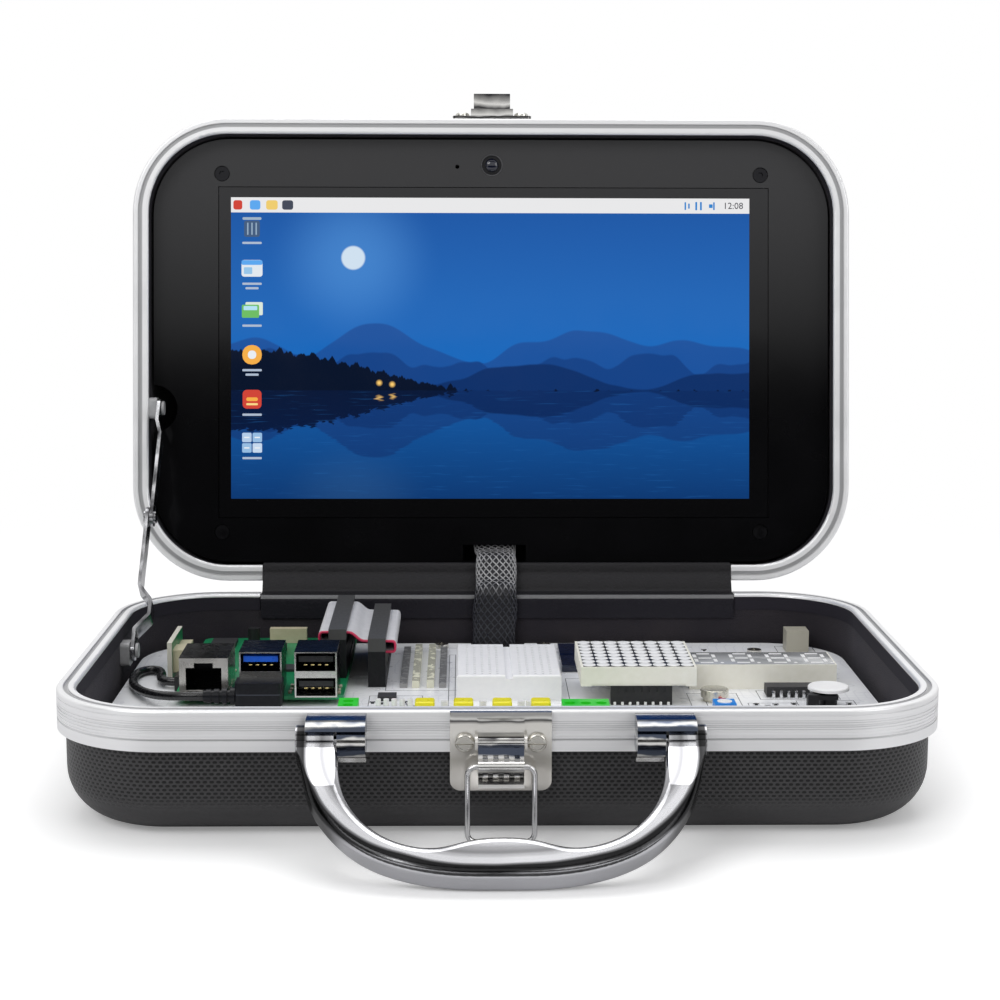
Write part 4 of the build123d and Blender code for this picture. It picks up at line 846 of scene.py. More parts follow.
# %% Moulded plastics
for name, colour, second, roughness, spread, more, dressed in (
        ("black_moulding", (0.007, 0.007, 0.009), (0.013, 0.013, 0.015), 0.38, 0.14,
         dict(scale=1200, relief=0.2, Specular_IOR_Level=0.3),
         ("sensor_bracket", "display_module", "camera_module")),
        ("pad_grey", (0.36, 0.36, 0.37), (0.42, 0.42, 0.43), 0.42, 0.1,
         dict(scale=600, relief=0.15), ("stay_base_anchor", "stay_lid_anchor")),
        ("rail_black", (0.006, 0.006, 0.007), (0.011, 0.011, 0.012), 0.55, 0.1,
         dict(scale=800, relief=0.2), ("hinge_base_rail", "hinge_lid_rail")),
        ("cream_moulding", (0.90, 0.88, 0.78), (0.94, 0.92, 0.83), 0.42, 0.1,
         dict(scale=500, relief=0.1), ("led_matrix", "digit_display")),
        ("white_moulding", (0.88, 0.88, 0.90), (0.92, 0.92, 0.93), 0.42, 0.1,
         dict(scale=500, relief=0.1), ("breadboard", "trimmer_dial")),
        ("cap_yellow", (0.92, 0.82, 0.010), (0.96, 0.88, 0.03), 0.30, 0.08,
         dict(scale=500, relief=0.1, Coat_Weight=0.2),
         ("button_cap_1", "button_cap_2", "button_cap_3", "button_cap_4")),
        ("terminal_green", (0.02, 0.60, 0.02), (0.05, 0.68, 0.04), 0.34, 0.1,
         dict(scale=500, relief=0.1), ("terminal_blocks",)),
        ("trimmer_blue", (0.01, 0.22, 0.72), (0.02, 0.27, 0.80), 0.34, 0.1,
         dict(scale=500, relief=0.1), ("trimmer_body",)),
        ("tile_navy", (0.006, 0.010, 0.032), (0.010, 0.016, 0.048), 0.22, 0.08,
         dict(scale=200, Coat_Weight=0.3), ("sensor_tiles",)),
        ("sounder_metal", (0.66, 0.63, 0.54), (0.80, 0.77, 0.68), 0.24, 0.1,
         dict(scale=150, Metallic=0.85), ("buzzer",))):
    dress(surface(name, colour, second, roughness, spread, **more), *dressed)
chip_black = surface("chip_black", (0.020, 0.020, 0.022), (0.032, 0.032, 0.034), 0.55, 0.12,
                     scale=1500, relief=0.3)
dress(chip_black, "circuit_chips", "button_housings")
dish_white = tint_where(
    surface("dish_white", (0.90, 0.90, 0.91), (0.94, 0.94, 0.94), 0.35, 0.1, scale=500),
    [(*anywhere, *anywhere, 26.0, 27.35, (0.02, 0.02, 0.022))])
dress(dish_white, "sensor_dome")
print("plastics dressed")

# %% [markdown]
# The lead is in soft black rubber with a slight shine.

# %% Lead in its rubber sheath
lead_rubber = surface("lead_rubber", (0.004, 0.004, 0.005), (0.009, 0.009, 0.010), 0.28, 0.12,
                      scale=700, detail=3, relief=0.12, Coat_Weight=0.15)
lead_cord.data.materials.append(lead_rubber)
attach(lead_cord, "base")
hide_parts("usb_lead")
print("lead dressed")

# %% [markdown]
# Some CAD nodes hold small parts of several colours, such as the chips' silver legs or the
# blue and black tongues of the USB ports. Their place decides the colour, so one material
# reads Object coordinates and picks between colours where one part ends and the next begins.
# Two of these colours are painted light instead: a painted highlight on the plug's top edge
# and painted shade inside the USB ports.

# %% Parts coloured by place
# Painted highlight: a thin paler strip along the plug's top front edge.
plug_black = tint_where(
    surface("plug_black", (0.004, 0.0045, 0.007), (0.008, 0.009, 0.012), 0.34, 0.1, scale=900,
            relief=0.2, Specular_IOR_Level=0.25),
    [(-85.4, -69.6, -23.2, -22.6, 28.15, 28.5, (0.05, 0.055, 0.07))])
dress(plug_black, "usb_plug")
ribbon_plug_black = tint_where(
    surface("ribbon_plug_black", (0.006, 0.006, 0.008), (0.012, 0.012, 0.014), 0.4, 0.1, scale=900,
            relief=0.2, Specular_IOR_Level=0.25),
    [(-58.0, -50.0, *anywhere, 38.6, 43.0, (0.075, 0.075, 0.075)),
     (-44.0, -37.0, *anywhere, 34.4, 40.0, (0.075, 0.075, 0.075))])
dress(ribbon_plug_black, "ribbon_plugs")
tongue_plastic = tint_where(
    surface("tongue_plastic", (0.010, 0.010, 0.012), (0.02, 0.02, 0.022), 0.3, 0.1, scale=400),
    [(-90, -68.5, *anywhere, *anywhere, (0.005, 0.13, 0.80))])
dress(tongue_plastic, "usb_tongues")
jack_metal = tint_where(
    surface("jack_metal", (0.62, 0.60, 0.56), (0.74, 0.72, 0.68), 0.26, 0.12, scale=160,
            Metallic=0.9),
    [(*anywhere, *anywhere, 38.45, 39.5, (0.012, 0.012, 0.013)),
     (-103.0, -89.4, -13.9, 20.0, 26.0, 37.6, (0.008, 0.008, 0.009))])
dress(jack_metal, "network_jack")
shield_metal = surface("shield_metal", (0.66, 0.65, 0.62), (0.78, 0.77, 0.74), 0.26, 0.14,
                       scale=160, stretch=(1, 4, 4), detail=4, relief=0.12, Metallic=1.0)
# Painted shade inside the USB ports: the shield is dark behind its front rim, and its top is darker
# too.
shield_dark_top_painted_port_shade = tint_where(shield_metal, [
    (*anywhere, *anywhere, 40.45, 41.5, (0.03, 0.03, 0.032)),
    (*anywhere, -13.8, 8.0, 25.8, 40.05, (0.02, 0.02, 0.022))])
dress(shield_dark_top_painted_port_shade, "usb_shields")
header_strip = tint_where(
    surface("header_strip", (0.014, 0.014, 0.015), (0.024, 0.024, 0.026), 0.4, 0.1, scale=500),
    [(-33.2, -29.9, *anywhere, *anywhere, (0.30, 0.30, 0.30)),
     (-19.6, -16.4, *anywhere, *anywhere, (0.30, 0.30, 0.30)),
     (-28.8, -25.6, *anywhere, *anywhere, (0.78, 0.77, 0.62)),
     (-23.8, -20.6, *anywhere, *anywhere, (0.78, 0.77, 0.62))])
tree = header_strip.node_tree
across, along, rise = object_axes(tree)
hole_marks = along.math("PINGPONG", 0.635) < 0.30
hole_marks = hole_marks * (noise(tree, object_place(tree), 420.0, 1.0) > 0.44)
cover(header_strip, hole_marks * (rise > 23.5), (0.025, 0.025, 0.028))
dress(header_strip, "pin_headers")
socket_cream = tint_where(
    surface("socket_cream", (0.56, 0.50, 0.34), (0.62, 0.56, 0.40), 0.4, 0.1, scale=400),
    [(100.0, 120.0, *anywhere, *anywhere, (0.42, 0.40, 0.33)),
     (-92.0, -85.0, 60.0, 80.0, *anywhere, (0.012, 0.012, 0.013)),
     (-110.0, -105.0, 0.0, 20.0, *anywhere, (0.012, 0.012, 0.013))])
dress(socket_cream, "small_sockets")
indicator_plastic = tint_where(
    surface("indicator_plastic", (0.93, 0.93, 0.93), (0.96, 0.96, 0.95), 0.25, 0.1, scale=300,
            Coat_Weight=0.3),
    [(-41.0, -26.0, *anywhere, 21.0, 24.05, (0.02, 0.02, 0.02))])
dress(indicator_plastic, "indicator_leds")
print("coloured parts dressed")

# %% [markdown]
# The lesson board has white solder mask over copper. Traces stand a hair proud under the
# mask, so a few faint lines of relief and tone are drawn along both directions.

# %% Circuit boards
def trace_lines(tree, axis, pitch):
    """Thin lines at a pitch along an axis, broken up by slow noise so that they look routed."""
    patches = noise(tree, object_place(tree), 55.0, 1.0)
    shifted = axis + span(patches, 0.4, 0.6) * pitch
    return (shifted.math("PINGPONG", pitch / 2) < pitch * 0.07) * (patches > 0.52)


def board_surface(name, colour, second, trace, roughness, pitch):
    """Solder mask with faint traces, in relief and in tone."""
    material = surface(name, colour, second, roughness, 0.08, scale=120, Coat_Weight=0.1)
    tree, shader, _ = parts_of(material)
    across, along = object_axes(tree)[:2]
    lines = trace_lines(tree, along, pitch).math("MAXIMUM", trace_lines(tree, across, pitch))
    feed(shader, Normal=bump(tree, lines, 0.3, 0.00004))
    cover(material, lines, trace)
    return material


lesson_white = board_surface("lesson_white", (0.90, 0.91, 0.94), (0.93, 0.94, 0.96),
                             (0.82, 0.83, 0.87), 0.30, 3.2)
computer_green = board_surface("computer_green", (0.006, 0.20, 0.075), (0.010, 0.27, 0.10),
                               (0.02, 0.36, 0.15), 0.32, 1.3)
dress(lesson_white, "main_board")
dress(computer_green, "computer_board")
adapter_green = tint_where(
    surface("adapter_green", (0.006, 0.16, 0.06), (0.010, 0.22, 0.08), 0.35, 0.1, scale=200),
    [(*anywhere, 18.0, 19.25, *anywhere, (0.62, 0.60, 0.52)),
     (*anywhere, *anywhere, 35.75, 37.0, (0.62, 0.60, 0.52))])
dress(adapter_green, "adapter_board")
print("boards dressed")

# %% [markdown]
# The display is lit. Its picture is painted by the shader: a lake at dusk with layered hills,
# a pale moon and a dark shore, mirrored in the water. It is a design of its own with the
# blues of the photograph. A pale bar runs along the top, as on most desktops.

# %% Display picture
screen_left, screen_right, screen_low, screen_high = -99.6, 98.8, -56.6, 58.5
screen_shape = 1.724
water_line, bar_from = 0.36, 0.950
display_picture, tree, shader = new_material("display_picture")
across, along = lid_axes(tree)[:2]
u = span(across, screen_left, screen_right)
v = span(along, screen_low, screen_high)


def noise_line(x, frequency, seed, detail):
    """Noise along one direction only."""
    place = add_node(tree, "ShaderNodeCombineXYZ", {0: x * frequency, 1: seed})
    return noise(tree, place.outputs[0], 1.0, detail)


def far_from(spot_u, spot_v):
    """How far a place on the picture is from a spot, in shares of its height."""
    x, y = (u_seen - spot_u) * screen_shape, v_seen - spot_v
    return (x * x + y * y).math("SQRT")


in_water = v < water_line
ripple_place = add_node(tree, "ShaderNodeCombineXYZ", {0: u * 14.0, 1: v * 170.0})
ripple = noise(tree, ripple_place.outputs[0], 1.0, 2.0)
u_seen = u + (ripple - 0.5) * 0.03 * in_water
v_seen = water_line + abs(v - water_line)
picture = colour_ramp(tree, v_seen, [(water_line, (0.008, 0.145, 0.52)),
                                     (0.66, (0.008, 0.125, 0.46)), (1.0, (0.004, 0.085, 0.36))])
moon_far = far_from(0.235, 0.80)
layers = [(span(moon_far, 0.03, 0.30, 0.42, 0.0, smooth=True), (0.10, 0.35, 0.80)),
          (span(moon_far, 0.036, 0.042, 1.0, 0.0), (0.62, 0.74, 0.86))]
for base, swing, frequency, seed, detail, tint in (
        (0.50, 0.34, 5.2, 3.1, 1.0, (0.010, 0.085, 0.34)),
        (0.45, 0.30, 7.7, 8.4, 1.5, (0.007, 0.055, 0.24)),
        (0.40, 0.26, 4.3, 14.9, 2.0, (0.004, 0.030, 0.14))):
    ridge = base + (noise_line(u_seen, frequency, seed, detail) - 0.45) * swing
    layers.append((span(ridge - v_seen, 0.0, 0.006), tint))
tree_tops = noise_line(u_seen, 60.0, 5.0, 6.0) * 0.09
shore = span(u_seen, 0.05, 0.52, 0.47, 0.33, smooth=True) + tree_tops - 0.02
layers.append((span(shore - v_seen, 0.0, 0.004), (0.0015, 0.006, 0.022)))
for lamp_u, lamp_v in ((0.285, 0.385), (0.31, 0.38)):
    layers.append((span(far_from(lamp_u, lamp_v), 0.003, 0.012, 1.0, 0.0), (1.0, 0.62, 0.16)))
for share, tint in layers:
    picture = blend_colour(tree, share, picture, (*tint, 1))
water_tone = blend_colour(tree, span(v, 0.0, water_line, 0.75, 0.30), picture,
                          (0.002, 0.014, 0.075, 1))
glitter = span(ripple, 0.60, 0.72, 0.0, 0.20)
water_tone = blend_colour(tree, glitter, water_tone, (0.02, 0.16, 0.50, 1))
picture = blend_colour(tree, in_water, picture, water_tone)
picture = blend_colour(tree, v > bar_from, picture, (0.80, 0.80, 0.81, 1))
lit = inside(across, screen_left, screen_right) * inside(along, screen_low, screen_high)
# Painted reflection: the glass border lifts toward its top, like the panel.
glass_border_painted_reflection = blend_colour(tree, span(along, lift_low, lift_high, smooth=True),
                            (0.004, 0.004, 0.0045, 1), (0.044, 0.044, 0.046, 1))
smudge = noise(tree, object_place(tree), 60.0, 4.0)
feed(shader, Emission_Color=blend_colour(tree, lit, (0, 0, 0, 1), picture), Emission_Strength=1.0,
     Base_Color=blend_colour(tree, lit, glass_border_painted_reflection, (0.002, 0.002, 0.003, 1)),
     Roughness=span(smudge, 0.3, 0.8, 0.05, 0.14), Specular_IOR_Level=0.16)
dress(display_picture, "display_glass")
print("display picture painted")

# %% [markdown]
# The small marks on the display are flat shapes that stand a few hundredths of a millimetre
# off the glass: a column of plain icons with pale bars for their captions, a few marks at
# the left of the top bar, and a clock. One material reads their colour from an attribute.

# %% Marks on the display
glass_front = -6.9
mark_rise = 0.04
mark_light, tree, shader = new_material("mark_light")
ink = add_node(tree, "ShaderNodeAttribute", attribute_name="ink")
feed(shader, Emission_Color=ink.outputs["Color"], Emission_Strength=1.0,
     Base_Color=(0.01, 0.01, 0.01, 1), Roughness=0.3, Specular_IOR_Level=0.1)


def inked(piece, colour):
    """Store one colour on every face of a mark."""
    layer = piece.data.color_attributes.new("ink", "FLOAT_COLOR", "CORNER")
    for item in layer.data:
        item.color = (*colour, 1)
    return piece


def mark(x, y, width, height, colour, level=0, corner=0.0):
    """A flat patch on the display in its own mm, its corners rounded, raised off the glass."""
    patch = flat_plate(x, y, glass_front + mark_rise * (level + 0.4), width, height)
    edit_all(patch)
    if corner:
        bpy.ops.mesh.bevel(offset=corner * mm, segments=4, affect="VERTICES")
    bpy.ops.mesh.extrude_region_move(TRANSFORM_OT_translate={"value": (0, 0, mark_rise * 0.6 * mm)})
    leave_edit()
    return inked(patch, colour)


pale, sky_blue, warm = (0.80, 0.84, 0.88), (0.10, 0.38, 0.85), (0.90, 0.42, 0.06)
brick, caption = (0.62, 0.05, 0.03), (0.42, 0.50, 0.62)
long_caption = (0, -5.9, 7.4, 0.85, caption, 0, 0.3)
short_caption = (0, -7.6, 5.0, 0.85, caption, 0, 0.3)
slate, steel = (0.30, 0.42, 0.55), (0.30, 0.50, 0.75)
icon_x, bar_y = -91.6, 55.6
icons = {
    47.0: [(0, -0.5, 6.0, 6.2, (0.05, 0.10, 0.20), 0, 0.8),
           (0, 3.4, 7.2, 1.0, (0.35, 0.45, 0.55), 1, 0.4), (-1.6, -0.5, 0.5, 4.6, slate, 1),
           (0, -0.5, 0.5, 4.6, slate, 1), (1.6, -0.5, 0.5, 4.6, slate, 1), long_caption],
    31.4: [(0, 0, 8.0, 6.4, (0.75, 0.80, 0.85), 0, 1.0), (0, 2.2, 8.0, 1.8, sky_blue, 1, 0.6),
           (-1.5, -0.9, 3.2, 2.6, (0.30, 0.55, 0.80), 1, 0.3), long_caption, short_caption],
    15.4: [(0.8, 0.6, 6.6, 5.0, (0.70, 0.80, 0.70), 0, 0.5),
           (-0.6, -0.4, 6.6, 5.0, (0.15, 0.50, 0.12), 1, 0.5),
           (-0.6, 0.8, 5.2, 1.6, (0.45, 0.75, 0.90), 2, 0.3), long_caption],
    -1.6: [(0, 0, 7.4, 7.4, warm, 0, 3.4), (0, 0, 3.2, 3.2, pale, 1, 1.4), long_caption,
           short_caption],
    -18.6: [(0, 0, 7.2, 7.2, brick, 0, 1.6), (0, 0, 4.4, 1.4, warm, 1, 0.6),
            (0, -1.9, 4.4, 0.8, (0.95, 0.70, 0.25), 1, 0.3), long_caption],
    -35.2: [(-2.0, 2.0, 3.6, 3.6, (0.45, 0.60, 0.80), 0, 0.5), (2.0, 2.0, 3.6, 3.6, steel, 0, 0.5),
            (-2.0, -2.0, 3.6, 3.6, steel, 0, 0.5),
            (2.0, -2.0, 3.6, 3.6, (0.55, 0.68, 0.85), 0, 0.5)]
    + [(dx, dy, 2.0, 0.5, pale, 1) for dx in (-2, 2) for dy in (-2, 2)] + [long_caption],
}
marks = [mark(icon_x + dx, y + dy, *rest) for y, parts in icons.items() for dx, dy, *rest in parts]
for x, width, colour in ((-97.0, 3.4, brick), (-90.4, 4.0, sky_blue),
                         (-84.0, 4.4, (0.85, 0.60, 0.15)), (-78.0, 4.2, (0.05, 0.06, 0.09))):
    marks.append(mark(x, bar_y, width, 3.6, colour, 0, 0.9))
for x, width, height in ((74.2, 0.6, 3.0), (75.6, 0.6, 2.0), (78.4, 0.7, 3.2), (80.2, 0.7, 3.2),
                         (84.0, 1.4, 1.4), (85.2, 0.6, 3.0)):
    marks.append(mark(x, bar_y, width, height, (0.02, 0.22, 0.60), 0, 0.2))
display_marks = join(marks)
onto_lid(display_marks)
finish_piece(display_marks, "display_marks", mark_light, "lid")

# %% [markdown]
# The bar ends in a clock. Numbers are generic, so they may be real type: a text object is
# made a mesh, lifted onto the glass and inked like the other marks.

# %% Clock digits on the top bar
put_down_everything()
bpy.ops.object.text_add()
clock = bpy.context.object
clock.data.body = "12:08"
clock.data.size = 3.5 * mm
clock.data.align_x, clock.data.align_y = "CENTER", "CENTER"
clock.data.extrude = 0.01 * mm
clock.data.resolution_u = 3
pick(clock)
bpy.ops.object.convert(target="MESH")
clock = bpy.context.object
onto_lid(clock, 92.6, bar_y, glass_front + mark_rise)
inked(clock, (0.03, 0.03, 0.04))
finish_piece(clock, "clock_digits", mark_light, "lid")

# %% [markdown]
# A strip of black leatherette covers both hinge rails. It follows the CAD strip's line: down
# inside the tray, over the rail, across the gap and up inside the lid. A smooth curve gives
# the line, and extruding it sideways gives the strip.

# %% Leatherette strip over the hinge
strip_left, strip_right, strip_thickness = -86.7, 90.7, 0.8


def lid_spot(along, out):
    """Y and Z in mm of a point in the lid, along from its hinge edge and out from its rim."""
    return (91.447 + 0.15006 * along - 0.98868 * out, 43.42 + 0.98868 * along + 0.15006 * out)


def route_vertices(points):
    """The points of a route's smooth curve, read from its NURBS spline, in mm."""
    holder = nurbs_curve("route", points)
    mesh = bpy.data.meshes.new_from_object(holder)
    found = [vertex.co / mm for vertex in mesh.vertices]
    bpy.data.objects.remove(holder)
    bpy.data.meshes.remove(mesh)
    return found


strip_route = [(81.25, 31.2), (81.25, 35.5), (81.3, 39.3), (84.0, 39.68), (86.2, 39.68),
               (87.7, 40.2), (88.6, 42.2), (90.4, 44.4), lid_spot(2.6, -0.45),
               lid_spot(4.6, -0.5), lid_spot(6.6, -0.9), lid_spot(6.5, -3.2), lid_spot(6.45, -5.5)]
strip_line = route_vertices([(strip_left, y, z) for y, z in strip_route])
leatherette_strip = mesh_piece("leatherette_strip", strip_line, [],
                               [(i, i + 1) for i in range(len(strip_line) - 1)])
pick(leatherette_strip)
bpy.ops.object.mode_set(mode="EDIT")
bpy.ops.mesh.select_mode(type="EDGE")
bpy.ops.mesh.select_all(action="SELECT")
strip_steps = 24
step_across = (strip_right - strip_left) / strip_steps * mm
for step in range(strip_steps):
    bpy.ops.mesh.extrude_region_move(TRANSFORM_OT_translate={"value": (step_across, 0, 0)})
bpy.ops.mesh.select_all(action="SELECT")
bpy.ops.mesh.normals_make_consistent(inside=False)
leave_edit()
for vertex in leatherette_strip.data.vertices:
    x, y, z = vertex.co / mm
    hang = math.sin(x * 0.21 + 1.0) * math.sin(x * 0.053) * 0.10
    bridge = max(0.0, 1 - abs(z - 42.5) / 3.0)
    vertex.co.y += hang * bridge * mm
thicken = leatherette_strip.modifiers.new("thickness", "SOLIDIFY")
thicken.thickness = (strip_thickness - 0.1) * mm
thicken.offset = 0.0
pick(leatherette_strip)
bpy.ops.object.modifier_apply(modifier="thickness")
leather_black = surface("leather_black", (0.006, 0.0055, 0.007), (0.012, 0.011, 0.013), 0.55, 0.14,
                        scale=1100, detail=5, relief=0.55, depth=0.0002, Specular_IOR_Level=0.28)
tint_where(leather_black, [(*anywhere, 80.0, 82.4, 38.6, 40.2, (0.16, 0.16, 0.165)),
                           (*anywhere, 80.0, 82.4, 20.0, 38.6, (0.007, 0.006, 0.011))])
finish_piece(leatherette_strip, "leatherette_strip", leather_black, None, 50)
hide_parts("hinge_cover")
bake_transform(leatherette_strip)

# %% [markdown]
# The display's wires cross the hinge in a braided sleeve, flattened into a ribbon. The braid
# is two families of fine strands that wind round it in opposite ways, each passing over and
# under the other. Each strand follows the sleeve's own curve, and a dark core fills it. The
# strands are painted pale high on the sleeve, a painted highlight, and near-black lower down,
# as painted shade where it drops into the tray.

# %% Braided sleeve
sleeve_x = 1.0
sleeve_route = [lid_spot(17.0, -11.6), lid_spot(10.4, -11.0), lid_spot(9.9, 0.4),
                lid_spot(5.0, 3.8), (84.2, 44.0), (78.7, 42.2), (78.5, 35.0), (78.5, 20.4)]
sleeve_line = route_vertices([(sleeve_x, y, z) for y, z in sleeve_route])
sleeve_run = [0.0]
for before, after in zip(sleeve_line, sleeve_line[1:]):
    sleeve_run.append(sleeve_run[-1] + (after - before).length)
sleeve_length = sleeve_run[-1]


def sleeve_spot(distance):
    """Place and direction on the sleeve's middle line at a distance along it."""
    distance = min(max(distance, 0.0), sleeve_length)
    for index in range(len(sleeve_run) - 1):
        if distance <= sleeve_run[index + 1]:
            part = sleeve_run[index + 1] - sleeve_run[index]
            share = (distance - sleeve_run[index]) / part if part else 0.0
            here = sleeve_line[index].lerp(sleeve_line[index + 1], share)
            low, high = max(index - 1, 0), min(index + 2, len(sleeve_line) - 1)
            return here, (sleeve_line[high] - sleeve_line[low]).normalized()
    return sleeve_line[-1], (sleeve_line[-1] - sleeve_line[-2]).normalized()


def sleeve_surface_point(angle, distance, lift):
    """A point on the flattened sleeve, and the direction out of it."""
    here, forward = sleeve_spot(distance)
    flat = forward.cross(Vector((1, 0, 0))).normalized()
    narrowing = math.sin(math.pi * min(1.0, distance / sleeve_length * 1.4))
    half_width = 7.9 - 0.6 * narrowing + 0.2 * math.sin(distance * 0.35)
    half_thick = 1.35 + 0.2 * math.sin(distance * 0.22 + 1.0)
    sideways, upward = Vector((math.cos(angle), 0, 0)), flat * math.sin(angle)
    out = (sideways / half_width + upward / half_thick).normalized()
    middle = here + Vector((0.5 * math.sin(distance * 0.08), 0, 0))
    return middle + sideways * half_width + upward * half_thick + out * lift, out


strand_count, strand_width, strand_lift, sleeve_turns = 18, 0.48, 0.12, 0.95
turn_rate = sleeve_turns * 2 * math.pi / sleeve_length
points_along, look_ahead = 150, 0.2
strand_points, strand_faces = [], []
for way in (1, -1):
    for number in range(strand_count):
        first = len(strand_points)
        for step in range(points_along + 1):
            distance = sleeve_length * step / points_along
            angle = 2 * math.pi * number / strand_count + way * turn_rate * distance
            lift = way * strand_lift * math.cos(strand_count * turn_rate * distance) + 0.22
            middle, out = sleeve_surface_point(angle, distance, lift)
            following, _ = sleeve_surface_point(angle + way * turn_rate * look_ahead,
                                                distance + look_ahead, lift)
            side = out.cross(following - middle).normalized()
            if side.length < 0.5:
                side = Vector((1, 0, 0))
            for shift, drop in ((-0.5, 0.10), (0.0, 0.0), (0.5, 0.10)):
                strand_points.append(middle + side * shift * strand_width - out * drop)
        for step in range(points_along):
            for corner in (first + 3 * step, first + 3 * step + 1):
                strand_faces.append((corner, corner + 1, corner + 4, corner + 3))
braided_strands = mesh_piece("braided_strands", strand_points, strand_faces)
family = braided_strands.data.attributes.new("family", "FLOAT", "POINT")
for index, item in enumerate(family.data):
    item.value = 1.0 if index < len(strand_points) // 2 else 0.0
strand_thread = surface("strand_thread", (0.26, 0.26, 0.265), (0.46, 0.46, 0.47), 0.35, 0.2,
                        scale=420, detail=3)
tree, shader, effect = parts_of(strand_thread)
rise = object_axes(tree)[2]
way_of_thread = Signal(
    add_node(tree, "ShaderNodeAttribute", attribute_name="family").outputs["Fac"])
cover(strand_thread, way_of_thread * 0.30, (0.008, 0.008, 0.010))
# Painted highlight above, painted shade below: the strands fade to near-black low on the sleeve.
painted_shade_below = span(rise + Signal(effect.outputs["Height"]) * 3.0, 42.0, 48.0, 1.0, 0.0, smooth=True)
cover(strand_thread, painted_shade_below * 0.93, (0.004, 0.005, 0.014))
finish_piece(braided_strands, "braided_strands", strand_thread, None, 60)
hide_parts("braided_sleeve")
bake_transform(braided_strands)

# %% [markdown]
# Between the strands the wires inside show as a dark mass. A plain closed tube a little
# smaller than the braid stands for them, and keeps light from shining through it.

# %% Dark core in the sleeve
core_sides, core_rows, core_depth = 20, 60, -0.18
sleeve_core = closed_tube("sleeve_core", [
    [sleeve_surface_point(2 * math.pi * corner / core_sides, sleeve_length * row / core_rows,
                          core_depth)[0] for corner in range(core_sides)]
    for row in range(core_rows + 1)])
core_black = surface("core_black", (0.002, 0.002, 0.004), (0.006, 0.006, 0.010), 0.6, 0.2,
                     scale=1400, relief=0.5, depth=0.0002)
finish_piece(sleeve_core, "sleeve_core", core_black, None, 60)
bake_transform(sleeve_core)
print("sleeve length mm", round(sleeve_length, 1))

# %% [markdown]
# The ribbon cable is forty fine wires side by side in pale insulation, with one edge marked
# red. Its line is the CAD ribbon's. The section is a row of small ridges, one for each wire.

# %% Ribbon cable
ribbon_middle, ribbon_width, wire_count = 41.4, 50.8, 40
ribbon_route = [(-51.5, 36.6), (-58.0, 36.6), (-60.3, 36.7), (-60.3, 40.2), (-58.0, 40.3),
                (-50.0, 40.35), (-48.6, 39.6), (-46.4, 37.5), (-44.5, 37.1), (-36.0, 37.1),
                (-34.3, 37.0), (-34.3, 33.5), (-36.0, 33.4), (-42.9, 33.4)]
ribbon_line = route_vertices([(x, 0.0, z) for x, z in ribbon_route])
profile = []
wire_pitch = ribbon_width / wire_count
for number in range(wire_count):
    for share, height in ((0.08, 0.18), (0.3, 0.43), (0.7, 0.43), (0.92, 0.18)):
        profile.append((ribbon_middle - ribbon_width / 2 + (number + share) * wire_pitch, height))
rim = profile + [(y, -height) for y, height in reversed(profile)]
ribbon_rings = []
for index, place in enumerate(ribbon_line):
    after = ribbon_line[min(index + 1, len(ribbon_line) - 1)]
    forward = (after - ribbon_line[max(index - 1, 0)]).normalized()
    outward = Vector((-forward.z, 0, forward.x))
    ribbon_rings.append([place + outward * height + Vector((0, y, 0)) for y, height in rim])
ribbon_wires = closed_tube("ribbon_wires", ribbon_rings)
ribbon_grey = tint_where(
    surface("ribbon_grey", (0.58, 0.58, 0.60), (0.64, 0.64, 0.66), 0.42, 0.1, scale=300),
    [(*anywhere, 16.0, 17.3, *anywhere, (0.62, 0.03, 0.10))])
finish_piece(ribbon_wires, "ribbon_wires", ribbon_grey, "base", 50)
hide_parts("ribbon_cable")

# %% [markdown]
# The light matrix is a cream block under a dark face with eight rows of eight pale dots. One
# dot is modelled with a bevelled rim and copied over the grid. The face is a thin black sheet
# inset from the block's edges.

# %% Light matrix
matrix_x, matrix_y, matrix_top = 46.6, 1.8, 36.0
face_half, face_thickness, dot_pitch = 18.2, 0.12, 4.62
face = standing_block(matrix_x, matrix_y, matrix_top, face_half, face_half, face_thickness, 0.05)
finish_piece(face, "matrix_face", surface("face_black", (0.008, 0.008, 0.009),
                                          (0.014, 0.014, 0.015), 0.35, scale=500),
             "base")
first_dot = (matrix_x - 3.5 * dot_pitch, matrix_y - 3.5 * dot_pitch, matrix_top + face_thickness)
dot = round_boss(first_dot, 2.2, 0.16, 0.06, sides=20)
dots = copies(dot, [(column * dot_pitch, row * dot_pitch, 0)
                    for row in range(8) for column in range(8) if row or column])
dot_white = surface("dot_white", (0.92, 0.92, 0.92), (0.95, 0.95, 0.95), 0.35, 0.1, scale=400)
finish_piece(dots, "matrix_dots", dot_white, "base")

# %% [markdown]
# Each figure of the four-digit display is seven pale bars with pointed ends under a grey face
# film. One bar is modelled, turned and copied into a figure, and the figure is copied.

# %% Seven-segment figures
digits_x, digits_y, digits_width, digits_depth = 91.4, 18.2, 50.3, 19.0
digits_top, film_inset, film_thickness = 30.5, 0.5, 0.1
film = standing_block(digits_x, digits_y, digits_top, digits_width / 2 - film_inset,
                      digits_depth / 2 - film_inset, film_thickness, 0.04)
film_top = digits_top + film_thickness
film_grey = surface("film_grey", (0.30, 0.31, 0.32), (0.46, 0.47, 0.48), 0.18, 0.12, scale=45,
                    detail=2, Coat_Weight=0.4)
finish_piece(film, "digit_film", film_grey, "base")


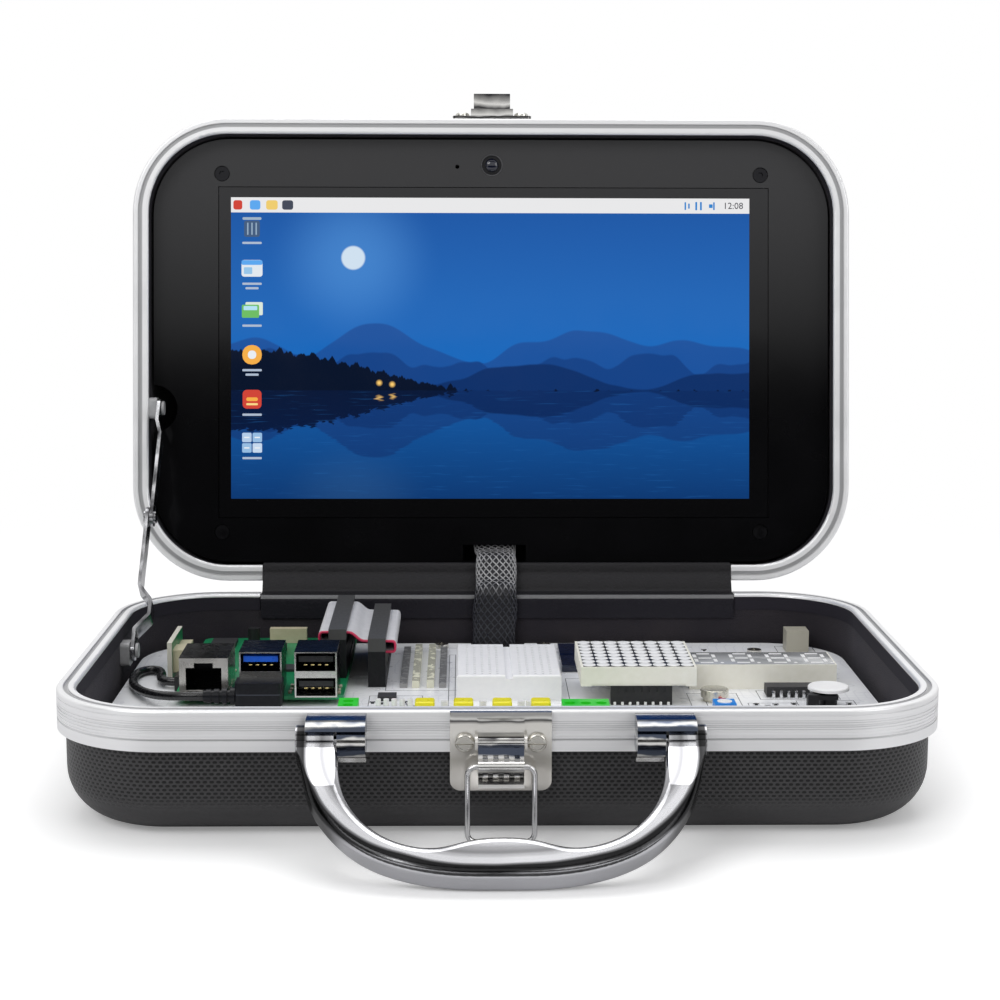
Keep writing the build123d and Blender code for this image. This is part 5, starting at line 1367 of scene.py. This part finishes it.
def segment(x, y, length, along_x):
    """A bar with pointed ends, a little above the film."""
    half, wide = length / 2, 0.62
    half_x, half_y = (half, wide) if along_x else (wide, half)
    bar = standing_block(x, y, film_top, half_x, half_y, 0.06, 0.02, 1)
    for vertex in bar.data.vertices:
        place = vertex.co / mm
        if along_x and abs(place.x - x) > half - 0.1:
            vertex.co.x -= math.copysign(0.5 * abs(place.y - y) / wide, place.x - x) * mm
        if not along_x and abs(place.y - y) > half - 0.1:
            vertex.co.y -= math.copysign(0.5 * abs(place.x - x) / wide, place.y - y) * mm
    return bar


figure_x = digits_x - 18.9
bars = [segment(figure_x, digits_y + dy, 5.4, True) for dy in (-6.4, 0.0, 6.4)]
bars += [segment(figure_x + dx, digits_y + dy, 5.0, False)
         for dx in (-3.3, 3.3) for dy in (-3.2, 3.2)]
bars.append(round_boss((figure_x + 5.2, digits_y - 6.6, film_top), 0.65, 0.06, 0.02, 12))
figures = copies(join(bars), [(12.6 * number, 0, 0) for number in (1, 2, 3)])
finish_piece(figures, "digit_segments", dot_white, "base")

# %% [markdown]
# Dark print on the white board marks out groups of parts. Each outline is a flat plate whose
# middle is inset and taken out, so a thin raised line is left, as thick as printing ink.

# %% Printed outlines on the lesson board
board_level = 22.0


def outline(x_low, x_high, y_low, y_high, line=0.22):
    """A thin printed rectangle on the board."""
    plate = flat_plate((x_low + x_high) / 2, (y_low + y_high) / 2, board_level + 0.01,
                       x_high - x_low, y_high - y_low)
    edit_all(plate)
    bpy.ops.mesh.inset(thickness=line * mm)
    bpy.ops.mesh.delete(type="FACE")
    bpy.ops.mesh.select_all(action="SELECT")
    bpy.ops.mesh.extrude_region_move(TRANSFORM_OT_translate={"value": (0, 0, 0.02 * mm)})
    leave_edit()
    return plate


board_print = join([outline(*limits) for limits in (
    (64.5, 81.5, -14.0, 3.0), (66.0, 81.0, -35.0, -20.5), (88.5, 115.5, -5.5, 6.5),
    (100.0, 119.5, -22.5, -7.0), (-42.5, -24.5, -27.0, 0.5), (-16.0, -13.6, -30, 60),
    (19.4, 36.4, -46.2, -33.6), (-28.5, 18.8, -42.5, -30.5), (24.5, 70.0, -21.0, 24.0),
    (-37.5, -12.5, 7.5, 71.0), (-52.5, -42.0, -47.5, -31.0), (22.6, 41.4, 32.5, 69.5),
    (83.5, 99.5, -26.0, -10.0), (105.0, 119.0, 60.5, 73.0), (60.0, 61.0, 28.0, 70.0))])
ink_dark = surface("ink_dark", (0.03, 0.03, 0.035), (0.10, 0.10, 0.11), 0.6, 0.1, scale=3000)
finish_piece(board_print, "board_print", ink_dark, "base")

# %% [markdown]
# Small soldered parts are scattered round the chips: dark resistors with silver ends, tan
# capacitors, and rows of pins that show as bright points. One of each is modelled and copied.

# %% Small soldered parts on the lesson board
resistor_spots = [
    (86.0, -12.5), (89.5, -15.0), (92.4, -13.2), (95.0, -18.4), (98.6, -12.0), (86.6, -20.6),
    (90.0, -23.6), (94.4, -23.0), (64.0, -16.6), (81.8, -18.2), (84.4, -30.4), (96.8, -29.0),
    (-41.0, -9.5), (-38.0, -10.5), (-30.4, -9.0), (-29.0, -12.4), (-26.4, -15.0), (-39.6, -17.5),
    (-12.0, -22.0), (1.0, -24.0), (14.0, -22.5), (39.4, -33.0), (44.0, -30.0), (50.0, -31.5),
    (56.0, -29.0), (62.0, -33.0), (104.0, -31.0), (110.5, -30.0), (117.0, -12.0), (98.0, 64.0),
    (88.0, 60.0), (78.0, 66.0), (68.0, 62.0), (-5.0, 66.0), (10.0, 70.0), (50.0, 64.0)]
first_x, first_y = resistor_spots[0]
body = standing_block(first_x, first_y, board_level, 0.55, 0.6, 0.5, 0.06)
finish_piece(scatter(body, resistor_spots), "small_resistors", chip_black, "base")
caps = join([standing_block(first_x + side * 0.78, first_y, board_level, 0.24, 0.62, 0.54, 0.05)
             for side in (-1, 1)])
solder_bright = surface("solder_bright", (0.72, 0.72, 0.73), (0.84, 0.84, 0.85), 0.25, 0.1,
                        scale=400, Metallic=1.0)
finish_piece(scatter(caps, resistor_spots), "resistor_ends", solder_bright, "base")

# %% [markdown]
# Two spots of colour sit near the sounder: a red bead and some teal wire ends. They are
# small bosses and bars with rounded edges.

# %% Red bead and teal wire ends
bead = round_boss((75.2, -11.6, board_level), 1.1, 2.0, 0.4, 16)
bead_red = surface("bead_red", (0.62, 0.02, 0.03), (0.75, 0.05, 0.05), 0.25, 0.1, scale=300,
                   Coat_Weight=0.4)
finish_piece(bead, "red_bead", bead_red, "base")
wire_bits = [bevelled_block((x, y, board_level), (x + length, y + 0.7, board_level + 0.7), 0.25)
             for x, y, length in ((82.0, -28.4, 3.0), (84.2, -27.4, 3.6), (87.0, -28.6, 3.2))]
wire_teal = surface("wire_teal", (0.0, 0.42, 0.40), (0.02, 0.52, 0.50), 0.35, 0.1, scale=300)
finish_piece(join(wire_bits), "teal_wire_end", wire_teal, "base")

# %% [markdown]
# Pins catch the light in even rows. One pin is modelled for each kind and copied along its
# row at the common pitch of a tenth of an inch.

# %% Bright pins of headers and chips
pin_pitch = 2.54
pin_x, pin_y = matrix_x + 1.4 - 3.5 * pin_pitch, matrix_y - 13.7
pin = bevelled_block((pin_x - 0.45, pin_y - 1.3, board_level),
                     (pin_x + 0.45, pin_y - 0.4, board_level + 1.2), 0.2)
pins = copies(pin, [(number * pin_pitch, 0, 0) for number in range(1, 8)])
finish_piece(pins, "matrix_socket_pins", dot_white, "base")
leg_x = 102.0 - 3.5 * pin_pitch
leg = bevelled_block((leg_x - 0.5, -4.5, board_level),
                     (leg_x + 0.5, -2.65, board_level + 2.6), 0.12)
legs = copies(leg, [(number * pin_pitch, 0, 0) for number in range(1, 8)])
finish_piece(legs, "chip_legs", solder_bright, "base")

# %% [markdown]
# The computer board carries dozens of tiny parts between its sockets. They are copies of one
# bevelled chip in three sizes, with silver pads, placed where the board has free space.

# %% Small parts on the computer board
computer_level = 25.2
spots = [
    (-68.4, -8.0), (-68.2, -4.0), (-68.4, 1.0), (-86.9, -7.0), (-87.0, -2.0), (-87.1, 3.0),
    (-86.8, 8.0), (-52.2, -9.0), (-52.4, -5.0), (-52.2, 0.0), (-66.0, 12.0), (-74.0, 12.8),
    (-80.0, 12.4), (-92.0, 13.0), (-60.0, 14.0), (-62.0, 20.0), (-68.0, 24.0), (-90.0, 22.0),
    (-94.0, 30.0), (-99.0, 36.0), (-64.0, 36.0), (-66.0, 44.0), (-70.0, 62.0), (-82.0, 64.0),
    (-96.0, 60.0), (-100.0, 20.0)]
small = standing_block(*spots[0], computer_level, 0.6, 0.9, 0.7, 0.08)
part_tan = surface("part_tan", (0.36, 0.30, 0.20), (0.56, 0.52, 0.42), 0.35, 0.1, scale=100)
finish_piece(scatter(small, spots), "computer_small_parts", part_tan, "base")

# %% [markdown]
# Deep in each USB port lie four gilded contacts. Their tips dip a little, so each one is a
# bevelled strip whose front face is moved down.

# %% Contacts of the USB ports
def contact_strip(x, y, z, width, depth):
    """A flat sprung contact with a raised tip."""
    strip = bevelled_block((x - width / 2, y, z), (x + width / 2, y + depth, z + 0.25), 0.08)
    select_faces(strip, lambda place, normal: normal.y < -0.9)
    bpy.ops.transform.translate(value=(0, 0, -0.15 * mm))
    bpy.ops.object.mode_set(mode="OBJECT")
    return strip


port_contacts = join([contact_strip(port_x + place * 2.3, -12.0, level, 1.1, 6.0)
                      for port_x in (-77.5, -59.4) for level in (27.75, 35.6)
                      for place in (-1.5, -0.5, 0.5, 1.5)])
contact_gold = surface("contact_gold", (0.70, 0.55, 0.22), (0.82, 0.68, 0.32), 0.25, 0.1, scale=400,
                       Metallic=1.0)
finish_piece(port_contacts, "port_contacts", contact_gold, "base")

# %% [markdown]
# The camera looks through a round window in the panel. It is a dark lens with a coated dome
# in a slim ring. The dome is half of a sphere, flattened, and the ring is a thin torus that
# is cut level at its back.

# %% Camera lens and ring
camera_up = 71.0
put_down_everything()
bpy.ops.mesh.primitive_uv_sphere_add(segments=32, ring_count=16, radius=2.5 * mm)
lens = settle(bpy.context.object)
edit_all(lens)
bpy.ops.mesh.bisect(plane_co=(0, 0, 0.6 * mm), plane_no=(0, 0, 1), clear_inner=True, use_fill=True)
bpy.ops.mesh.select_all(action="SELECT")
bpy.ops.transform.resize(value=(1, 1, 0.42))
leave_edit()
onto_lid(lens, y=camera_up, z=-7.35)
lens_glass = surface("lens_glass", (0.004, 0.005, 0.012), (0.010, 0.012, 0.030), 0.04, 0.02,
                     scale=200, Coat_Weight=0.6)
finish_piece(lens, "camera_lens", lens_glass, "lid")
put_down_everything()
bpy.ops.mesh.primitive_torus_add(major_radius=3.95 * mm, minor_radius=0.22 * mm,
                                 major_segments=48, minor_segments=10)
ring = settle(bpy.context.object)
edit_all(ring)
bpy.ops.mesh.bisect(plane_co=(0, 0, -0.05 * mm), plane_no=(0, 0, 1), clear_inner=True)
leave_edit()
onto_lid(ring, y=camera_up, z=-6.75)
ring_grey = surface("ring_grey", (0.05, 0.05, 0.055), (0.09, 0.09, 0.095), 0.3, 0.1, scale=300)
finish_piece(ring, "camera_ring", ring_grey, "lid")

for node_name, part in nodes.items():
    if not part.hide_render and not part.material_slots:
        print("no material on", node_name)
print("pieces", len(pieces_made))
